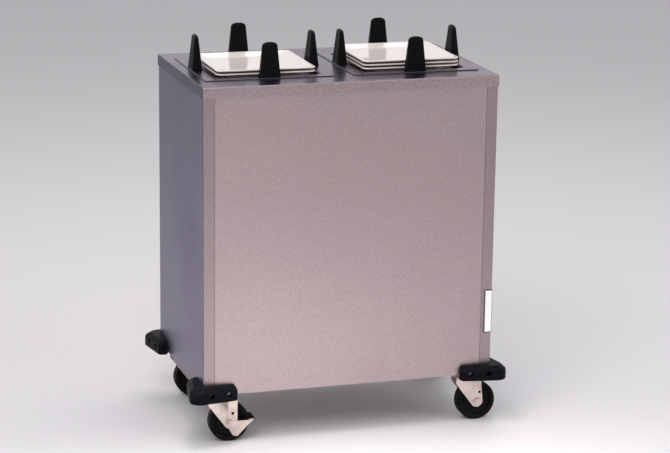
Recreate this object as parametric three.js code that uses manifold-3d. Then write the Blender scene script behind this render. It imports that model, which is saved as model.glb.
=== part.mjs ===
// Mobile plate dispenser: a closed stainless cabinet on four swivel casters, with two drop-in
// dispensers for square plates side by side in its deck. Each dispenser carries its plates on a
// sprung carriage that sinks as the stack grows, between four black guide posts.
//
// Millimetres, +Z up, the front towards -Y. The origin is on the floor under the cabinet's centre.

import * as THREE from 'three';
import { mergeVertices } from 'three/addons/utils/BufferGeometryUtils.js';
import Module from 'manifold-3d';

// ---------------------------------------------------------------------------------------------
// Driving dimensions
// ---------------------------------------------------------------------------------------------

const GAP = 0.3;                  // clearance between pieces that seat on, or run in, each other

// Deck
const CART_WIDTH = 762;           // deck, side to side
const CART_DEPTH = 483;           // deck, front to back
const DECK_HEIGHT = 914;          // floor to the deck's top
const DECK_SHEET = 2;
const DECK_CORNER = 4;            // radius of the deck's corners, seen from above
const DECK_BEVEL = 1.2;           // rounding of the deck's top edge
const SKIRT_HEIGHT = 28;          // downturned edge, deck included

// Cabinet walls
const WALL_SHEET = 1.2;
const STILE_WIDTH = 29;           // side panel's return on the front and the back
const WALL_BEND = 3;              // outside radius of the side panel's bends
const SEAM = 0.5;                 // open joint between a stile and the panel beside it
const LAP_WIDTH = 11;             // tongue of the front and back panels behind a stile

// Base
const PAN_SHEET = 2;
const PAN_DEPTH = 19;             // pan's floor top to the lower edge of its flange
const PAN_LIFT = 1;               // pan's flange above the cabinet's lower edge
const RAIL_WIDTH = 84;
const RAIL_SHEET = 3;

// Dispensers
const STACK_OFFSET = 1.75;        // dispenser's centre inward of the middle of its half of the deck
const PLATE_SIDE = 254;
const PLATE_CORNER = 14;
const PLATE_HEIGHT = 18;          // foot to rim
const PLATE_NEST = 9;             // height that each further plate adds to a stack
const PLATE_RIM_EDGE = 3.5;       // thickness of the rim's edge
const WELL_CLEARANCE = 7;         // plate to the well's edge, each side
const WELL_CORNER = 9;
const FLANGE_WIDTH = 32;          // well's edge to the flange's outer edge
const FLANGE_SHEET = 2;
const FLANGE_CORNER = 5;
const FLANGE_LAP = 12;            // how far the flange lies on the deck
const COLLAR_DEPTH = 34;          // downturned neck around the well, below the deck's top
const PLATFORM_DROP = 9;          // carriage's top below the deck's top, with its plates on it
const LEFT_PLATES = 2;
const RIGHT_PLATES = 3;

// Guide posts
const POST_WIDTH = 53;
const POST_THICKNESS = 28;
const POST_HEIGHT = 87;
const POST_TIP_WIDTH = 38;
const POST_TIP_THICKNESS = 9;
const POST_SETBACK = 3;           // post's foot to the well's edge
const POST_STUD_INSET = 10.5;      // foot's inner face to its studs
const POST_STUD_SPACING = 24;
const POST_STUD_RADIUS = 2;       // studs moulded into the post's foot
const POST_NUT_RADIUS = 4;
const POST_NUT_HEIGHT = 2.4;

// Lift frame under each flange
const FRAME_FOOT = 190;           // underside of the frame's lower ring above the floor
const FRAME_ANGLE = 20;           // leg of the corner angles
const FRAME_SHEET = 2;
const FRAME_BAR = 3;              // thickness of the ring and of the spring bars
const FRAME_RING_WIDTH = 30;
const ROD_RADIUS = 5;
const ROD_CLEARANCE = 2;          // flange's collar to the guide rod

// Carriage
const PLATFORM_SHEET = 2;
const PLATFORM_CLEARANCE = 9;     // platform's edge to the well's edge
const PLATFORM_HOLE = 50;         // radius of the hole in the platform's middle
const CAGE_HEIGHT = 230;          // platform's top to the underside of the cage's lower ring
const CAGE_BAR = 12;
const CAGE_UPPER = 66;            // platform's top to the underside of the cage's upper ring
const EYE_HEIGHT = 20;
const EYE_WIDTH = 24;
const BUSH_WALL = 3;
const BUSH_FLANGE = 2;            // thickness of the bush's collar, and how far it stands out
const EYE_WALL = 1.8;             // thinnest metal around a bush

// Springs
const SPRING_RADIUS = 8;
const SPRING_WIRE = 1.2;          // radius of the spring's wire and hooks
const SPRING_HOOK = 14;
const SPRING_CLEARANCE = 1;       // flange's collar to the spring
const SPRING_BAR_DROP = 9;        // flange's collar to the spring bar
const SPRING_SHELF = 60;          // width of the carriage's shelf under a spring

// Casters
const CASTER_INSET_X = 51;        // swivel axis to the deck's side edge
const CASTER_INSET_Y = 55;        // swivel axis to the deck's front or back edge
const CASTER_TRAIL = 28;          // swivel axis to axle
const WHEEL_RADIUS = 51;
const TREAD_WIDTH = 32;
const TREAD_DEPTH = 13;           // tread's surface to the wheel's recessed web
const WEB_THICKNESS = 16;
const HUB_RADIUS = 14;
const HUB_LENGTH = 36;
const WHEEL_FACETS = 24;          // flats around the tread, one of them on the floor
const AXLE_RADIUS = 5;
const AXLE_NUT = 8.5;             // across-corners radius of the axle's head and nut
const AXLE_NUT_HEIGHT = 6;
const THREAD_END = 2;             // bolt's end past its nut
const TOP_PLATE_LENGTH = 84;
const TOP_PLATE_WIDTH = 64;
const TOP_PLATE_SHEET = 3;
const TOP_PLATE_CORNER = 6;
const RACE_RADIUS = 27;
const RACE_HEIGHT = 6;            // raceway cup under the top plate
const CROWN_RADIUS = 28;
const CROWN_HEIGHT = 6.7;         // bearing cup on the fork
const CROWN_SHEET = 4;
const CROWN_LEAD = 30;            // fork's reach ahead of the swivel axis
const CROWN_TAIL = 10;            // fork's crown past the axle
const WHEEL_HEADROOM = 14;        // tread to the fork's crown
const FORK_SHEET = 2.5;
const FORK_BOSS = 16;             // radius of the fork's end around the axle
const FORK_SHOULDER = 14;         // height of the fork's leading edge before it slants
const FORK_HOLE_RADIUS = 3.8;     // small hole through both legs
const FORK_HOLE_RISE = 24;        // small hole above the axle
const FORK_HOLE_LAG = 7;          // small hole behind the axle
const KINGPIN_RADIUS = 6;
const KINGPIN_NUT = 10.5;
const KINGPIN_NUT_HEIGHT = 6;
const CASTER_BOLT_RADIUS = 4;
const CASTER_BOLT_HEAD = 6.5;
const CASTER_BOLT_HEAD_HEIGHT = 5;
const CASTER_BOLT_X = 60;         // bolt spacing along the top plate
const CASTER_BOLT_Y = 44;

// Wheel brake: a yoke on the axle with a foot tread behind the wheel
const STRAP_SHEET = 1.5;          // strap on each leg of a braked fork, from the crown to the axle
const STRAP_LEAD = 5;             // strap ahead of the axle
const STRAP_TAIL = 19;            // strap behind the axle
const BRAKE_SHEET = 2;
const BRAKE_BOSS = 12;
const BRAKE_WEB = 4;              // yoke's upper edge above the axle
const BRAKE_HEEL = 18;            // yoke's lower corner behind the axle
const BRAKE_HEEL_DROP = 37;       // and below it
const BRAKE_CLEARANCE = 1.2;      // tyre to the tread
const BRAKE_TREAD = 12;           // tread's length
const BRAKE_TREAD_DEPTH = 5;
const BRAKE_RISE = 3;             // tread's underside above the axle

// Corner bumpers
const BUMPER_LEG = 84;            // corner to a leg's end
const BUMPER_HEIGHT = 38;
const BUMPER_DROP = 11;           // below the cabinet's lower edge
const BUMPER_PROUD = 38;          // thickness at the corner
const BUMPER_END = 24;            // thickness at a leg's end
const BUMPER_CORNER = 26;
const BUMPER_END_ROUND = 11;
const BUMPER_SLOPE = 11;          // height of the sloped upper face
const BUMPER_SLOPE_DEPTH = 12;
const BUMPER_LIP = 5;             // ledge under the cabinet
const BUMPER_BEVEL = 2;           // lower edge
const BUMPER_SCREW_NEAR = 14;     // corner to the nearer screw
const BUMPER_SCREW_FAR = 60;
const BUMPER_SCREW_RISE = 8;      // screws above the cabinet's lower edge
const BUMPER_SCREW_RADIUS = 2.5;
const BUMPER_SCREW_HEAD = 6;
const BUMPER_SCREW_SEAT = 16;     // rubber under a screw's head
const BUMPER_SCREW_HEAD_HEIGHT = 4;
const BUMPER_SCREW_TIP = 1.5;     // screw's end past the pan's flange

// Label holder on the right front stile
const HOLDER_WIDTH = 21;
const HOLDER_HEIGHT = 114;
const HOLDER_THICKNESS = 2;
const HOLDER_RISE = 109;          // above the cabinet's lower edge
const HOLDER_BORDER = 2.4;
const HOLDER_OUTER_BORDER = 0.8;  // border along the cabinet's corner
const CARD_THICKNESS = 0.6;

// ---------------------------------------------------------------------------------------------
// Places worked out from the dimensions
// ---------------------------------------------------------------------------------------------

// Casters, from the floor up
const axleZ = WHEEL_RADIUS;
const crownBottom = 2 * WHEEL_RADIUS + WHEEL_HEADROOM;
const crownTop = crownBottom + CROWN_SHEET + CROWN_HEIGHT;
const raceBottom = crownTop + GAP;
const topPlateBottom = raceBottom + RACE_HEIGHT;
const topPlateTop = topPlateBottom + TOP_PLATE_SHEET;
const cabinetFoot = topPlateTop + GAP;
const forkInner = HUB_LENGTH / 2 + GAP;
const forkOuter = forkInner + FORK_SHEET;
const strapOuter = forkOuter + STRAP_SHEET;
const yokeInner = strapOuter + GAP;
const yokeOuter = yokeInner + BRAKE_SHEET;
const swivelX = CART_WIDTH / 2 - CASTER_INSET_X;
const swivelY = CART_DEPTH / 2 - CASTER_INSET_Y;

// Cabinet: the walls stand inside the deck's skirt
const bodyX = CART_WIDTH / 2 - DECK_SHEET - GAP;
const bodyY = CART_DEPTH / 2 - DECK_SHEET - GAP;
const wallTop = DECK_HEIGHT - DECK_SHEET - GAP;
const joggle = WALL_SHEET + GAP;
const panX = bodyX - WALL_SHEET - GAP;
const panY = bodyY - joggle - WALL_SHEET - GAP;
const panBottom = cabinetFoot + PAN_LIFT;
const panTop = panBottom + PAN_DEPTH;
const railTop = panTop - PAN_SHEET - GAP;

// Dispensers, from each one's own centre
const stackX = CART_WIDTH / 4 - STACK_OFFSET;
const wellHalf = PLATE_SIDE / 2 + WELL_CLEARANCE;
const flangeHalf = wellHalf + FLANGE_WIDTH;
const cutoutHalf = flangeHalf - FLANGE_LAP;
const flangeBottom = DECK_HEIGHT + GAP;
const flangeTop = flangeBottom + FLANGE_SHEET;
const collarBottom = DECK_HEIGHT - COLLAR_DEPTH;
const postOffset = wellHalf + POST_SETBACK + POST_THICKNESS / 2;
const studOffset = wellHalf + POST_SETBACK + POST_STUD_INSET;
const postFoot = flangeTop + GAP;
const hangTop = flangeBottom - GAP;
const rodOffset = wellHalf + FLANGE_SHEET + ROD_CLEARANCE + ROD_RADIUS;
const frameHalf = cutoutHalf - GAP;
const ringTop = FRAME_FOOT + FRAME_BAR;
const platformTop = DECK_HEIGHT - PLATFORM_DROP;
const platformHalf = wellHalf - PLATFORM_CLEARANCE;
const cageLower = platformTop - CAGE_HEIGHT;
const cageUpper = platformTop - CAGE_UPPER;
const bushOuter = ROD_RADIUS + GAP + BUSH_WALL;
const eyeReach = rodOffset + bushOuter + EYE_WALL;
const springOffset = wellHalf + FLANGE_SHEET + SPRING_CLEARANCE + SPRING_RADIUS;
const springBarTop = collarBottom - SPRING_BAR_DROP;
const springBarBottom = springBarTop - FRAME_BAR;
const shelfTop = cageLower + FRAME_BAR;

const LOOKS = {
  satinSteel: { color: 0xb4aeb2, roughness: 0.38, metalness: 1 },
  grainedSteel: { color: 0xa9a7b4, roughness: 0.42, metalness: 1 },
  zincPlate: { color: 0xd8cec4, roughness: 0.35, metalness: 1 },
  springSteel: { color: 0x9a9a9c, roughness: 0.35, metalness: 1 },
  blackPlastic: { color: 0x111114, roughness: 0.5, metalness: 0 },
  blackRubber: { color: 0x141416, roughness: 0.7, metalness: 0 },
  wheelRubber: { color: 0x121213, roughness: 0.65, metalness: 0 },
  whiteNylon: { color: 0xe6e3da, roughness: 0.5, metalness: 0 },
  ivoryGlaze: { color: 0xe9e4d8, roughness: 0.15, metalness: 0 },
  greyHolder: { color: 0x4c4d52, roughness: 0.5, metalness: 0 },
  whiteCard: { color: 0xf4f4f2, roughness: 0.8, metalness: 0 },
};

// ---------------------------------------------------------------------------------------------
// Solids
// ---------------------------------------------------------------------------------------------

const wasm = await Module();
wasm.setup();

/** Six times the signed volume of a triangle mesh: positive if its faces point out. */
function signedVolume(position, faces) {
  const [a, b, c] = [new THREE.Vector3(), new THREE.Vector3(), new THREE.Vector3()];
  let sum = 0;
  for (let i = 0; i < faces.length; i += 3) {
    a.fromBufferAttribute(position, faces[i]);
    b.fromBufferAttribute(position, faces[i + 1]);
    c.fromBufferAttribute(position, faces[i + 2]);
    sum += a.dot(b.cross(c));
  }
  return sum;
}

/** A closed geometry as a solid: corners merged, flat slivers dropped, faces turned outward. */
function solid(geometry) {
  geometry.deleteAttribute('normal');
  geometry.deleteAttribute('uv');
  const merged = mergeVertices(geometry, 1e-4);
  const position = merged.getAttribute('position');
  const index = merged.index.array;
  const faces = [];
  for (let i = 0; i < index.length; i += 3) {
    const [a, b, c] = [index[i], index[i + 1], index[i + 2]];
    if (a !== b && b !== c && c !== a) faces.push(a, b, c);
  }
  if (signedVolume(position, faces) < 0) faces.reverse();
  const mesh = new wasm.Mesh({
    numProp: 3,
    vertProperties: new Float32Array(position.array),
    triVerts: new Uint32Array(faces),
  });
  return new wasm.Manifold(mesh);
}

/** The solid's surface as a geometry. */
function surface(body) {
  const { vertProperties, triVerts } = body.getMesh();
  const geometry = new THREE.BufferGeometry();
  geometry.setAttribute('position', new THREE.BufferAttribute(vertProperties, 3));
  geometry.setIndex(new THREE.BufferAttribute(triVerts, 1));
  geometry.computeVertexNormals();
  return geometry;
}

const join = (...bodies) => bodies.flat().reduce((sum, body) => sum.add(body));
const cut = (body, ...tools) => tools.flat().reduce((rest, tool) => rest.subtract(tool), body);

/** A block between two corners. */
function block([x0, y0, z0], [x1, y1, z1]) {
  const box = new THREE.BoxGeometry(x1 - x0, y1 - y0, z1 - z0);
  return solid(box.translate((x0 + x1) / 2, (y0 + y1) / 2, (z0 + z1) / 2));
}

/** A block centred on the Z axis. */
const centredBlock = (halfX, halfY, z0, z1) => block([-halfX, -halfY, z0], [halfX, halfY, z1]);

/** Outline points on an arc, in degrees, both ends included. */
function arc(x, y, radius, from, to, steps) {
  return Array.from({ length: steps + 1 }, (_, i) => {
    const angle = THREE.MathUtils.degToRad(from + ((to - from) * i) / steps);
    return [x + radius * Math.cos(angle), y + radius * Math.sin(angle)];
  });
}

/** Outline of a rectangle with round corners, centred on the origin. */
function roundedRectangle(halfX, halfY, radius, steps = 3) {
  const [x, y] = [halfX - radius, halfY - radius];
  return [
    ...arc(x, y, radius, 0, 90, steps),
    ...arc(-x, y, radius, 90, 180, steps),
    ...arc(-x, -y, radius, 180, 270, steps),
    ...arc(x, -y, radius, 270, 360, steps),
  ];
}

/** An outline in XY, raised from one height to another. */
function prism(outline, z0, z1) {
  const shape = new THREE.Shape(outline.map(([x, y]) => new THREE.Vector2(x, y)));
  const geometry = new THREE.ExtrudeGeometry(shape, { depth: z1 - z0, bevelEnabled: false });
  return solid(geometry.translate(0, 0, z0));
}

/** An outline in XZ, carried along Y. */
function prismAlongY(outline, y0, y1) {
  const shape = new THREE.Shape(outline.map(([x, z]) => new THREE.Vector2(x, z)));
  const geometry = new THREE.ExtrudeGeometry(shape, { depth: y1 - y0, bevelEnabled: false });
  return solid(geometry.rotateX(Math.PI / 2).translate(0, y1, 0));
}

/** A cylinder along Z, Y or X, from one place on that axis to another. */
function cylinder(axis, radius, from, to, [u, v] = [0, 0], sides = 12) {
  const geometry = new THREE.CylinderGeometry(radius, radius, to - from, sides);
  const middle = (from + to) / 2;
  if (axis === 'z') geometry.rotateX(Math.PI / 2).translate(u, v, middle);
  if (axis === 'y') geometry.translate(u, middle, v);
  if (axis === 'x') geometry.rotateZ(Math.PI / 2).translate(middle, u, v);
  return solid(geometry);
}

/** A profile of [radius, height] points turned about the Z axis. */
function turned(profile, sides) {
  const points = profile.map(([radius, height]) => new THREE.Vector2(radius, height));
  return solid(new THREE.LatheGeometry(points, sides).rotateX(Math.PI / 2));
}

/** A skin through outlines of equal point count, each at its own height, capped at both ends. */
function loft(levels) {
  const count = levels[0].outline.length;
  const vertices = levels.flatMap(({ z, outline }) => outline.flatMap(([x, y]) => [x, y, z]));
  const faces = [];
  for (let level = 0; level + 1 < levels.length; level += 1) {
    for (let i = 0; i < count; i += 1) {
      const [a, b] = [level * count + i, level * count + ((i + 1) % count)];
      faces.push(a, b, b + count, a, b + count, a + count);
    }
  }
  const cap = (level, flip) => {
    const contour = levels[level].outline.map(([x, y]) => new THREE.Vector2(x, y));
    THREE.ShapeUtils.triangulateShape(contour, []).forEach((triangle) => {
      const corners = triangle.map((corner) => corner + level * count);
      faces.push(...(flip ? corners.reverse() : corners));
    });
  };
  cap(0, true);
  cap(levels.length - 1, false);
  const geometry = new THREE.BufferGeometry();
  geometry.setAttribute('position', new THREE.Float32BufferAttribute(vertices, 3));
  geometry.setIndex(faces);
  return solid(geometry);
}

/** A square frame of flat bar, seen from above. */
function squareRing(outer, width, z0, z1) {
  return cut(centredBlock(outer, outer, z0, z1),
    centredBlock(outer - width, outer - width, z0 - 1, z1 + 1));
}

/** Adds a named mesh to a group. */
function piece(group, name, body, look) {
  const mesh = new THREE.Mesh(surface(body), new THREE.MeshStandardMaterial(LOOKS[look]));
  mesh.name = name;
  group.add(mesh);
  return mesh;
}

/** A group moved to a place and turned about Z. */
function placed(parent, x, y, turn = 0) {
  const group = new THREE.Group();
  group.position.set(x, y, 0);
  group.rotation.z = turn;
  parent.add(group);
  return group;
}

/** A solid moved to a place and turned about Z, for cuts and for patterns of fasteners. */
function copyAt(body, x, y, turn = 0) {
  return solid(surface(body).rotateZ(turn).translate(x, y, 0));
}

// ---------------------------------------------------------------------------------------------
// Corner bumpers and their screws
// ---------------------------------------------------------------------------------------------

const QUARTER = Math.PI / 2;

// Each corner's place and turn. The bumper is drawn for the front right corner.
const CORNERS = [
  { name: 'front_right', sideX: 1, sideY: -1, turn: 0 },
  { name: 'back_right', sideX: 1, sideY: 1, turn: QUARTER },
  { name: 'back_left', sideX: -1, sideY: 1, turn: 2 * QUARTER },
  { name: 'front_left', sideX: -1, sideY: -1, turn: 3 * QUARTER },
];

const cabinetCorner = ({ sideX, sideY }) => [sideX * bodyX, sideY * bodyY];
const bumperScrewZ = cabinetFoot + BUMPER_SCREW_RISE;

/** Swaps a point between the bumper's front leg and its side leg. */
const otherLeg = ([x, y]) => [-y, -x];

/** Outline of the bumper around a cabinet corner at the origin, thinned by an amount. */
function bumperOutline(thinner) {
  const end = BUMPER_END - thinner;
  const proud = BUMPER_PROUD - thinner;
  const leg = BUMPER_LEG - thinner / 2;
  const round = Math.min(BUMPER_END_ROUND, end - 1);
  const half = [
    [-leg, -GAP],
    ...arc(-leg + round, -end + round, round, 180, 270, 3),
    ...arc(proud - BUMPER_CORNER, BUMPER_CORNER - proud, BUMPER_CORNER, 270, 315, 3),
  ];
  const mirrored = half.slice(0, -1).map(otherLeg).reverse();
  return [[GAP, -GAP], ...half, ...mirrored];
}

/** A solid along the front leg's screw line, and its copy on the side leg. */
function onBothLegs(makeFront, makeSide) {
  return [BUMPER_SCREW_NEAR, BUMPER_SCREW_FAR].flatMap((along) => [makeFront(along), makeSide(along)]);
}

/** Cylinders on all four screw lines of a bumper, from one depth to another: out is negative. */
function screwLine(radius, from, to, sides) {
  return onBothLegs(
    (along) => cylinder('y', radius, from, to, [-along, bumperScrewZ], sides),
    (along) => cylinder('x', radius, -to, -from, [along, bumperScrewZ], sides),
  );
}

/** Rubber corner with its four screws, whose heads sit in recesses. */
function bumper() {
  const bottom = cabinetFoot - BUMPER_DROP;
  const top = bottom + BUMPER_HEIGHT;
  const body = loft([
    { z: bottom, outline: bumperOutline(BUMPER_BEVEL) },
    { z: bottom + BUMPER_BEVEL, outline: bumperOutline(0) },
    { z: top - BUMPER_SLOPE, outline: bumperOutline(0) },
    { z: top, outline: bumperOutline(BUMPER_SLOPE_DEPTH) },
  ]);
  const lipEnd = BUMPER_LEG - BUMPER_END_ROUND;
  const lips = [
    block([-lipEnd, -1, bottom], [1, BUMPER_LIP, cabinetFoot - GAP]),
    block([-BUMPER_LIP, -1, bottom], [1, lipEnd, cabinetFoot - GAP]),
  ];
  const recesses = screwLine(BUMPER_SCREW_HEAD + GAP, -BUMPER_PROUD - 1, -BUMPER_SCREW_SEAT, 10);
  const headTop = -BUMPER_SCREW_SEAT - BUMPER_SCREW_HEAD_HEIGHT;
  const heads = screwLine(BUMPER_SCREW_HEAD, headTop, 1 - BUMPER_SCREW_SEAT, 8);
  const frontTip = bodyY - panY + PAN_SHEET + BUMPER_SCREW_TIP;
  const sideTip = bodyX - panX + PAN_SHEET + BUMPER_SCREW_TIP;
  const shanks = onBothLegs(
    (along) => cylinder('y', BUMPER_SCREW_RADIUS, -2, frontTip, [-along, bumperScrewZ], 6),
    (along) => cylinder('x', BUMPER_SCREW_RADIUS, -sideTip, 2, [along, bumperScrewZ], 6),
  );
  return join(cut(join(body, lips), recesses), heads, shanks);
}

/** The holes that the bumpers' screws need in the walls and in the pan. */
function bumperScrewHoles() {
  const holes = join(screwLine(BUMPER_SCREW_RADIUS + GAP, -1, BUMPER_SCREW_SEAT, 8));
  return CORNERS.map((corner) => copyAt(holes, ...cabinetCorner(corner), corner.turn));
}

// ---------------------------------------------------------------------------------------------
// Cabinet
// ---------------------------------------------------------------------------------------------

/** The deck: a shallow tray upside down, with a square cutout for each dispenser. */
function deckTop() {
  const skirtBottom = DECK_HEIGHT - SKIRT_HEIGHT;
  const outline = (inset) =>
    roundedRectangle(CART_WIDTH / 2 - inset, CART_DEPTH / 2 - inset, DECK_CORNER - inset);
  const shell = loft([
    { z: skirtBottom, outline: outline(0) },
    { z: DECK_HEIGHT - DECK_BEVEL, outline: outline(0) },
    { z: DECK_HEIGHT, outline: outline(DECK_BEVEL) },
  ]);
  const inside = prism(outline(DECK_SHEET), skirtBottom - 1, DECK_HEIGHT - DECK_SHEET);
  const cutouts = [-stackX, stackX].map((x) => block(
    [x - cutoutHalf, -cutoutHalf, DECK_HEIGHT - DECK_SHEET - 1],
    [x + cutoutHalf, cutoutHalf, DECK_HEIGHT + 1],
  ));
  return cut(shell, inside, cutouts);
}

/** A side wall folded round onto the front and the back, drawn for the right side. */
function sidePanel() {
  const stileEnd = bodyX - STILE_WIDTH;
  const bend = (radius, y, from, to) =>
    arc(bodyX - WALL_BEND, y, radius, from, to, 3);
  const inner = WALL_BEND - WALL_SHEET;
  return prism([
    [stileEnd, -bodyY],
    ...bend(WALL_BEND, WALL_BEND - bodyY, -90, 0),
    ...bend(WALL_BEND, bodyY - WALL_BEND, 0, 90),
    [stileEnd, bodyY],
    [stileEnd, bodyY - WALL_SHEET],
    ...bend(inner, bodyY - WALL_BEND, 90, 0),
    ...bend(inner, WALL_BEND - bodyY, 0, -90),
    [stileEnd, WALL_SHEET - bodyY],
  ], cabinetFoot, wallTop);
}

/** The wall between two stiles, its edges stepped back behind them, drawn for the front. */
function facePanel() {
  const edge = bodyX - STILE_WIDTH - SEAM;
  const tip = edge + LAP_WIDTH;
  const half = [
    [edge - WALL_SHEET, WALL_SHEET - bodyY],
    [edge - WALL_SHEET, joggle + WALL_SHEET - bodyY],
    [tip, joggle + WALL_SHEET - bodyY],
    [tip, joggle - bodyY],
    [edge, joggle - bodyY],
    [edge, -bodyY],
  ];
  const mirrored = half.map(([x, y]) => [-x, y]).reverse();
  return prism([...half, ...mirrored], cabinetFoot, wallTop);
}

/** The cabinet's floor: a tray upside down between the walls. */
function basePan() {
  return cut(centredBlock(panX, panY, panBottom, panTop),
    centredBlock(panX - PAN_SHEET, panY - PAN_SHEET, panBottom - 1, panTop - PAN_SHEET));
}

/** A channel, open at the top, that carries two casters under the pan. */
function baseRail(x) {
  const halfWidth = RAIL_WIDTH / 2;
  const end = panY - PAN_SHEET - GAP;
  const channel = prismAlongY([
    [-halfWidth, cabinetFoot],
    [halfWidth, cabinetFoot],
    [halfWidth, railTop],
    [halfWidth - RAIL_SHEET, railTop],
    [halfWidth - RAIL_SHEET, cabinetFoot + RAIL_SHEET],
    [RAIL_SHEET - halfWidth, cabinetFoot + RAIL_SHEET],
    [RAIL_SHEET - halfWidth, railTop],
    [-halfWidth, railTop],
  ], -end, end);
  const holes = CASTERS.flatMap((caster) =>
    boltHolesAt(caster, cabinetFoot - 1, cabinetFoot + RAIL_SHEET + 1));
  return cut(copyAt(channel, x, 0), holes);
}

function buildCabinet(cabinet) {
  const screwHoles = bumperScrewHoles();
  const right = cut(sidePanel(), screwHoles);
  const front = cut(facePanel(), screwHoles);
  const left = cut(copyAt(sidePanel(), 0, 0, 2 * QUARTER), screwHoles);
  const back = cut(copyAt(facePanel(), 0, 0, 2 * QUARTER), screwHoles);
  piece(cabinet, 'deck_top', deckTop(), 'satinSteel');
  piece(cabinet, 'front_panel', front, 'satinSteel');
  piece(cabinet, 'back_panel', back, 'satinSteel');
  piece(cabinet, 'side_panel_left', left, 'grainedSteel');
  piece(cabinet, 'side_panel_right', right, 'grainedSteel');
  piece(cabinet, 'base_pan', cut(basePan(), screwHoles), 'satinSteel');
  piece(cabinet, 'base_rail_left', baseRail(-swivelX), 'zincPlate');
  piece(cabinet, 'base_rail_right', baseRail(swivelX), 'zincPlate');

  const bumperBody = bumper();
  CORNERS.forEach((corner) => {
    const group = placed(cabinet, ...cabinetCorner(corner), corner.turn);
    piece(group, `bumper_${corner.name}`, bumperBody, 'blackRubber');
  });
}

/** A shallow frame on the right front stile, with a blank card in it. */
function buildLabel(cabinet) {
  const bottom = cabinetFoot + HOLDER_RISE;
  const top = bottom + HOLDER_HEIGHT;
  const [left, right] = [bodyX - HOLDER_WIDTH, bodyX];
  const back = -bodyY - GAP;
  const face = back - HOLDER_THICKNESS;
  const pocketBack = back - HOLDER_THICKNESS / 2;
  const window = (margin, y0, y1) => block(
    [left + HOLDER_BORDER + margin, y0, bottom + HOLDER_BORDER + margin],
    [right - HOLDER_OUTER_BORDER - margin, y1, top - HOLDER_BORDER - margin],
  );
  const holder = cut(block([left, face, bottom], [right, back, top]),
    window(0, face - 1, pocketBack));
  piece(cabinet, 'label_holder', holder, 'greyHolder');
  piece(cabinet, 'label_card',
    window(GAP, pocketBack - GAP - CARD_THICKNESS, pocketBack - GAP), 'whiteCard');
}

// ---------------------------------------------------------------------------------------------
// Casters
// ---------------------------------------------------------------------------------------------

const CASTERS = CORNERS.map(({ name, sideX, sideY }) => ({
  name,
  x: sideX * swivelX,
  y: sideY * swivelY,
  braked: sideX < 0,
}));

/** Places of a caster's four bolts, from its swivel axis. */
const casterBoltPlaces = [-1, 1].flatMap((sideX) => [-1, 1].map(
  (sideY) => [(sideX * CASTER_BOLT_X) / 2, (sideY * CASTER_BOLT_Y) / 2],
));

function boltHolesAt({ x, y }, z0, z1) {
  return casterBoltPlaces.map(([u, v]) =>
    cylinder('z', CASTER_BOLT_RADIUS + GAP, z0, z1, [x + u, y + v], 8));
}

/** One caster's bolts, each with its head under the plate and its nut in the rail. */
function casterBolts() {
  const headTop = topPlateBottom + 1;
  const headBottom = topPlateBottom - CASTER_BOLT_HEAD_HEIGHT;
  const nutBottom = cabinetFoot + RAIL_SHEET + GAP;
  const nutTop = nutBottom + CASTER_BOLT_HEAD_HEIGHT;
  return casterBoltPlaces.flatMap((place) => [
    cylinder('z', CASTER_BOLT_HEAD, headBottom, headTop, place, 6),
    cylinder('z', CASTER_BOLT_RADIUS, topPlateBottom, nutTop + THREAD_END, place, 6),
    cylinder('z', CASTER_BOLT_HEAD, nutBottom, nutTop, place, 6),
  ]);
}

/** Top plate with its bolts and raceway cup, and the kingpin with its nut under the crown. */
function casterPlate() {
  const outline = roundedRectangle(TOP_PLATE_LENGTH / 2, TOP_PLATE_WIDTH / 2, TOP_PLATE_CORNER);
  const nutTop = crownBottom - GAP;
  const nutBottom = nutTop - KINGPIN_NUT_HEIGHT;
  const plate = prism(outline, topPlateBottom, topPlateTop);
  const race = turned([
    [0, raceBottom],
    [RACE_RADIUS - 3, raceBottom],
    [RACE_RADIUS, raceBottom + 3],
    [RACE_RADIUS, topPlateBottom + 1],
    [0, topPlateBottom + 1],
  ], 16);
  const kingpin = cylinder('z', KINGPIN_RADIUS, nutBottom - THREAD_END, raceBottom + 1, [0, 0], 12);
  const nut = cylinder('z', KINGPIN_NUT, nutBottom, nutTop, [0, 0], 6);
  return join(plate, race, kingpin, nut, casterBolts());
}

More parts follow.
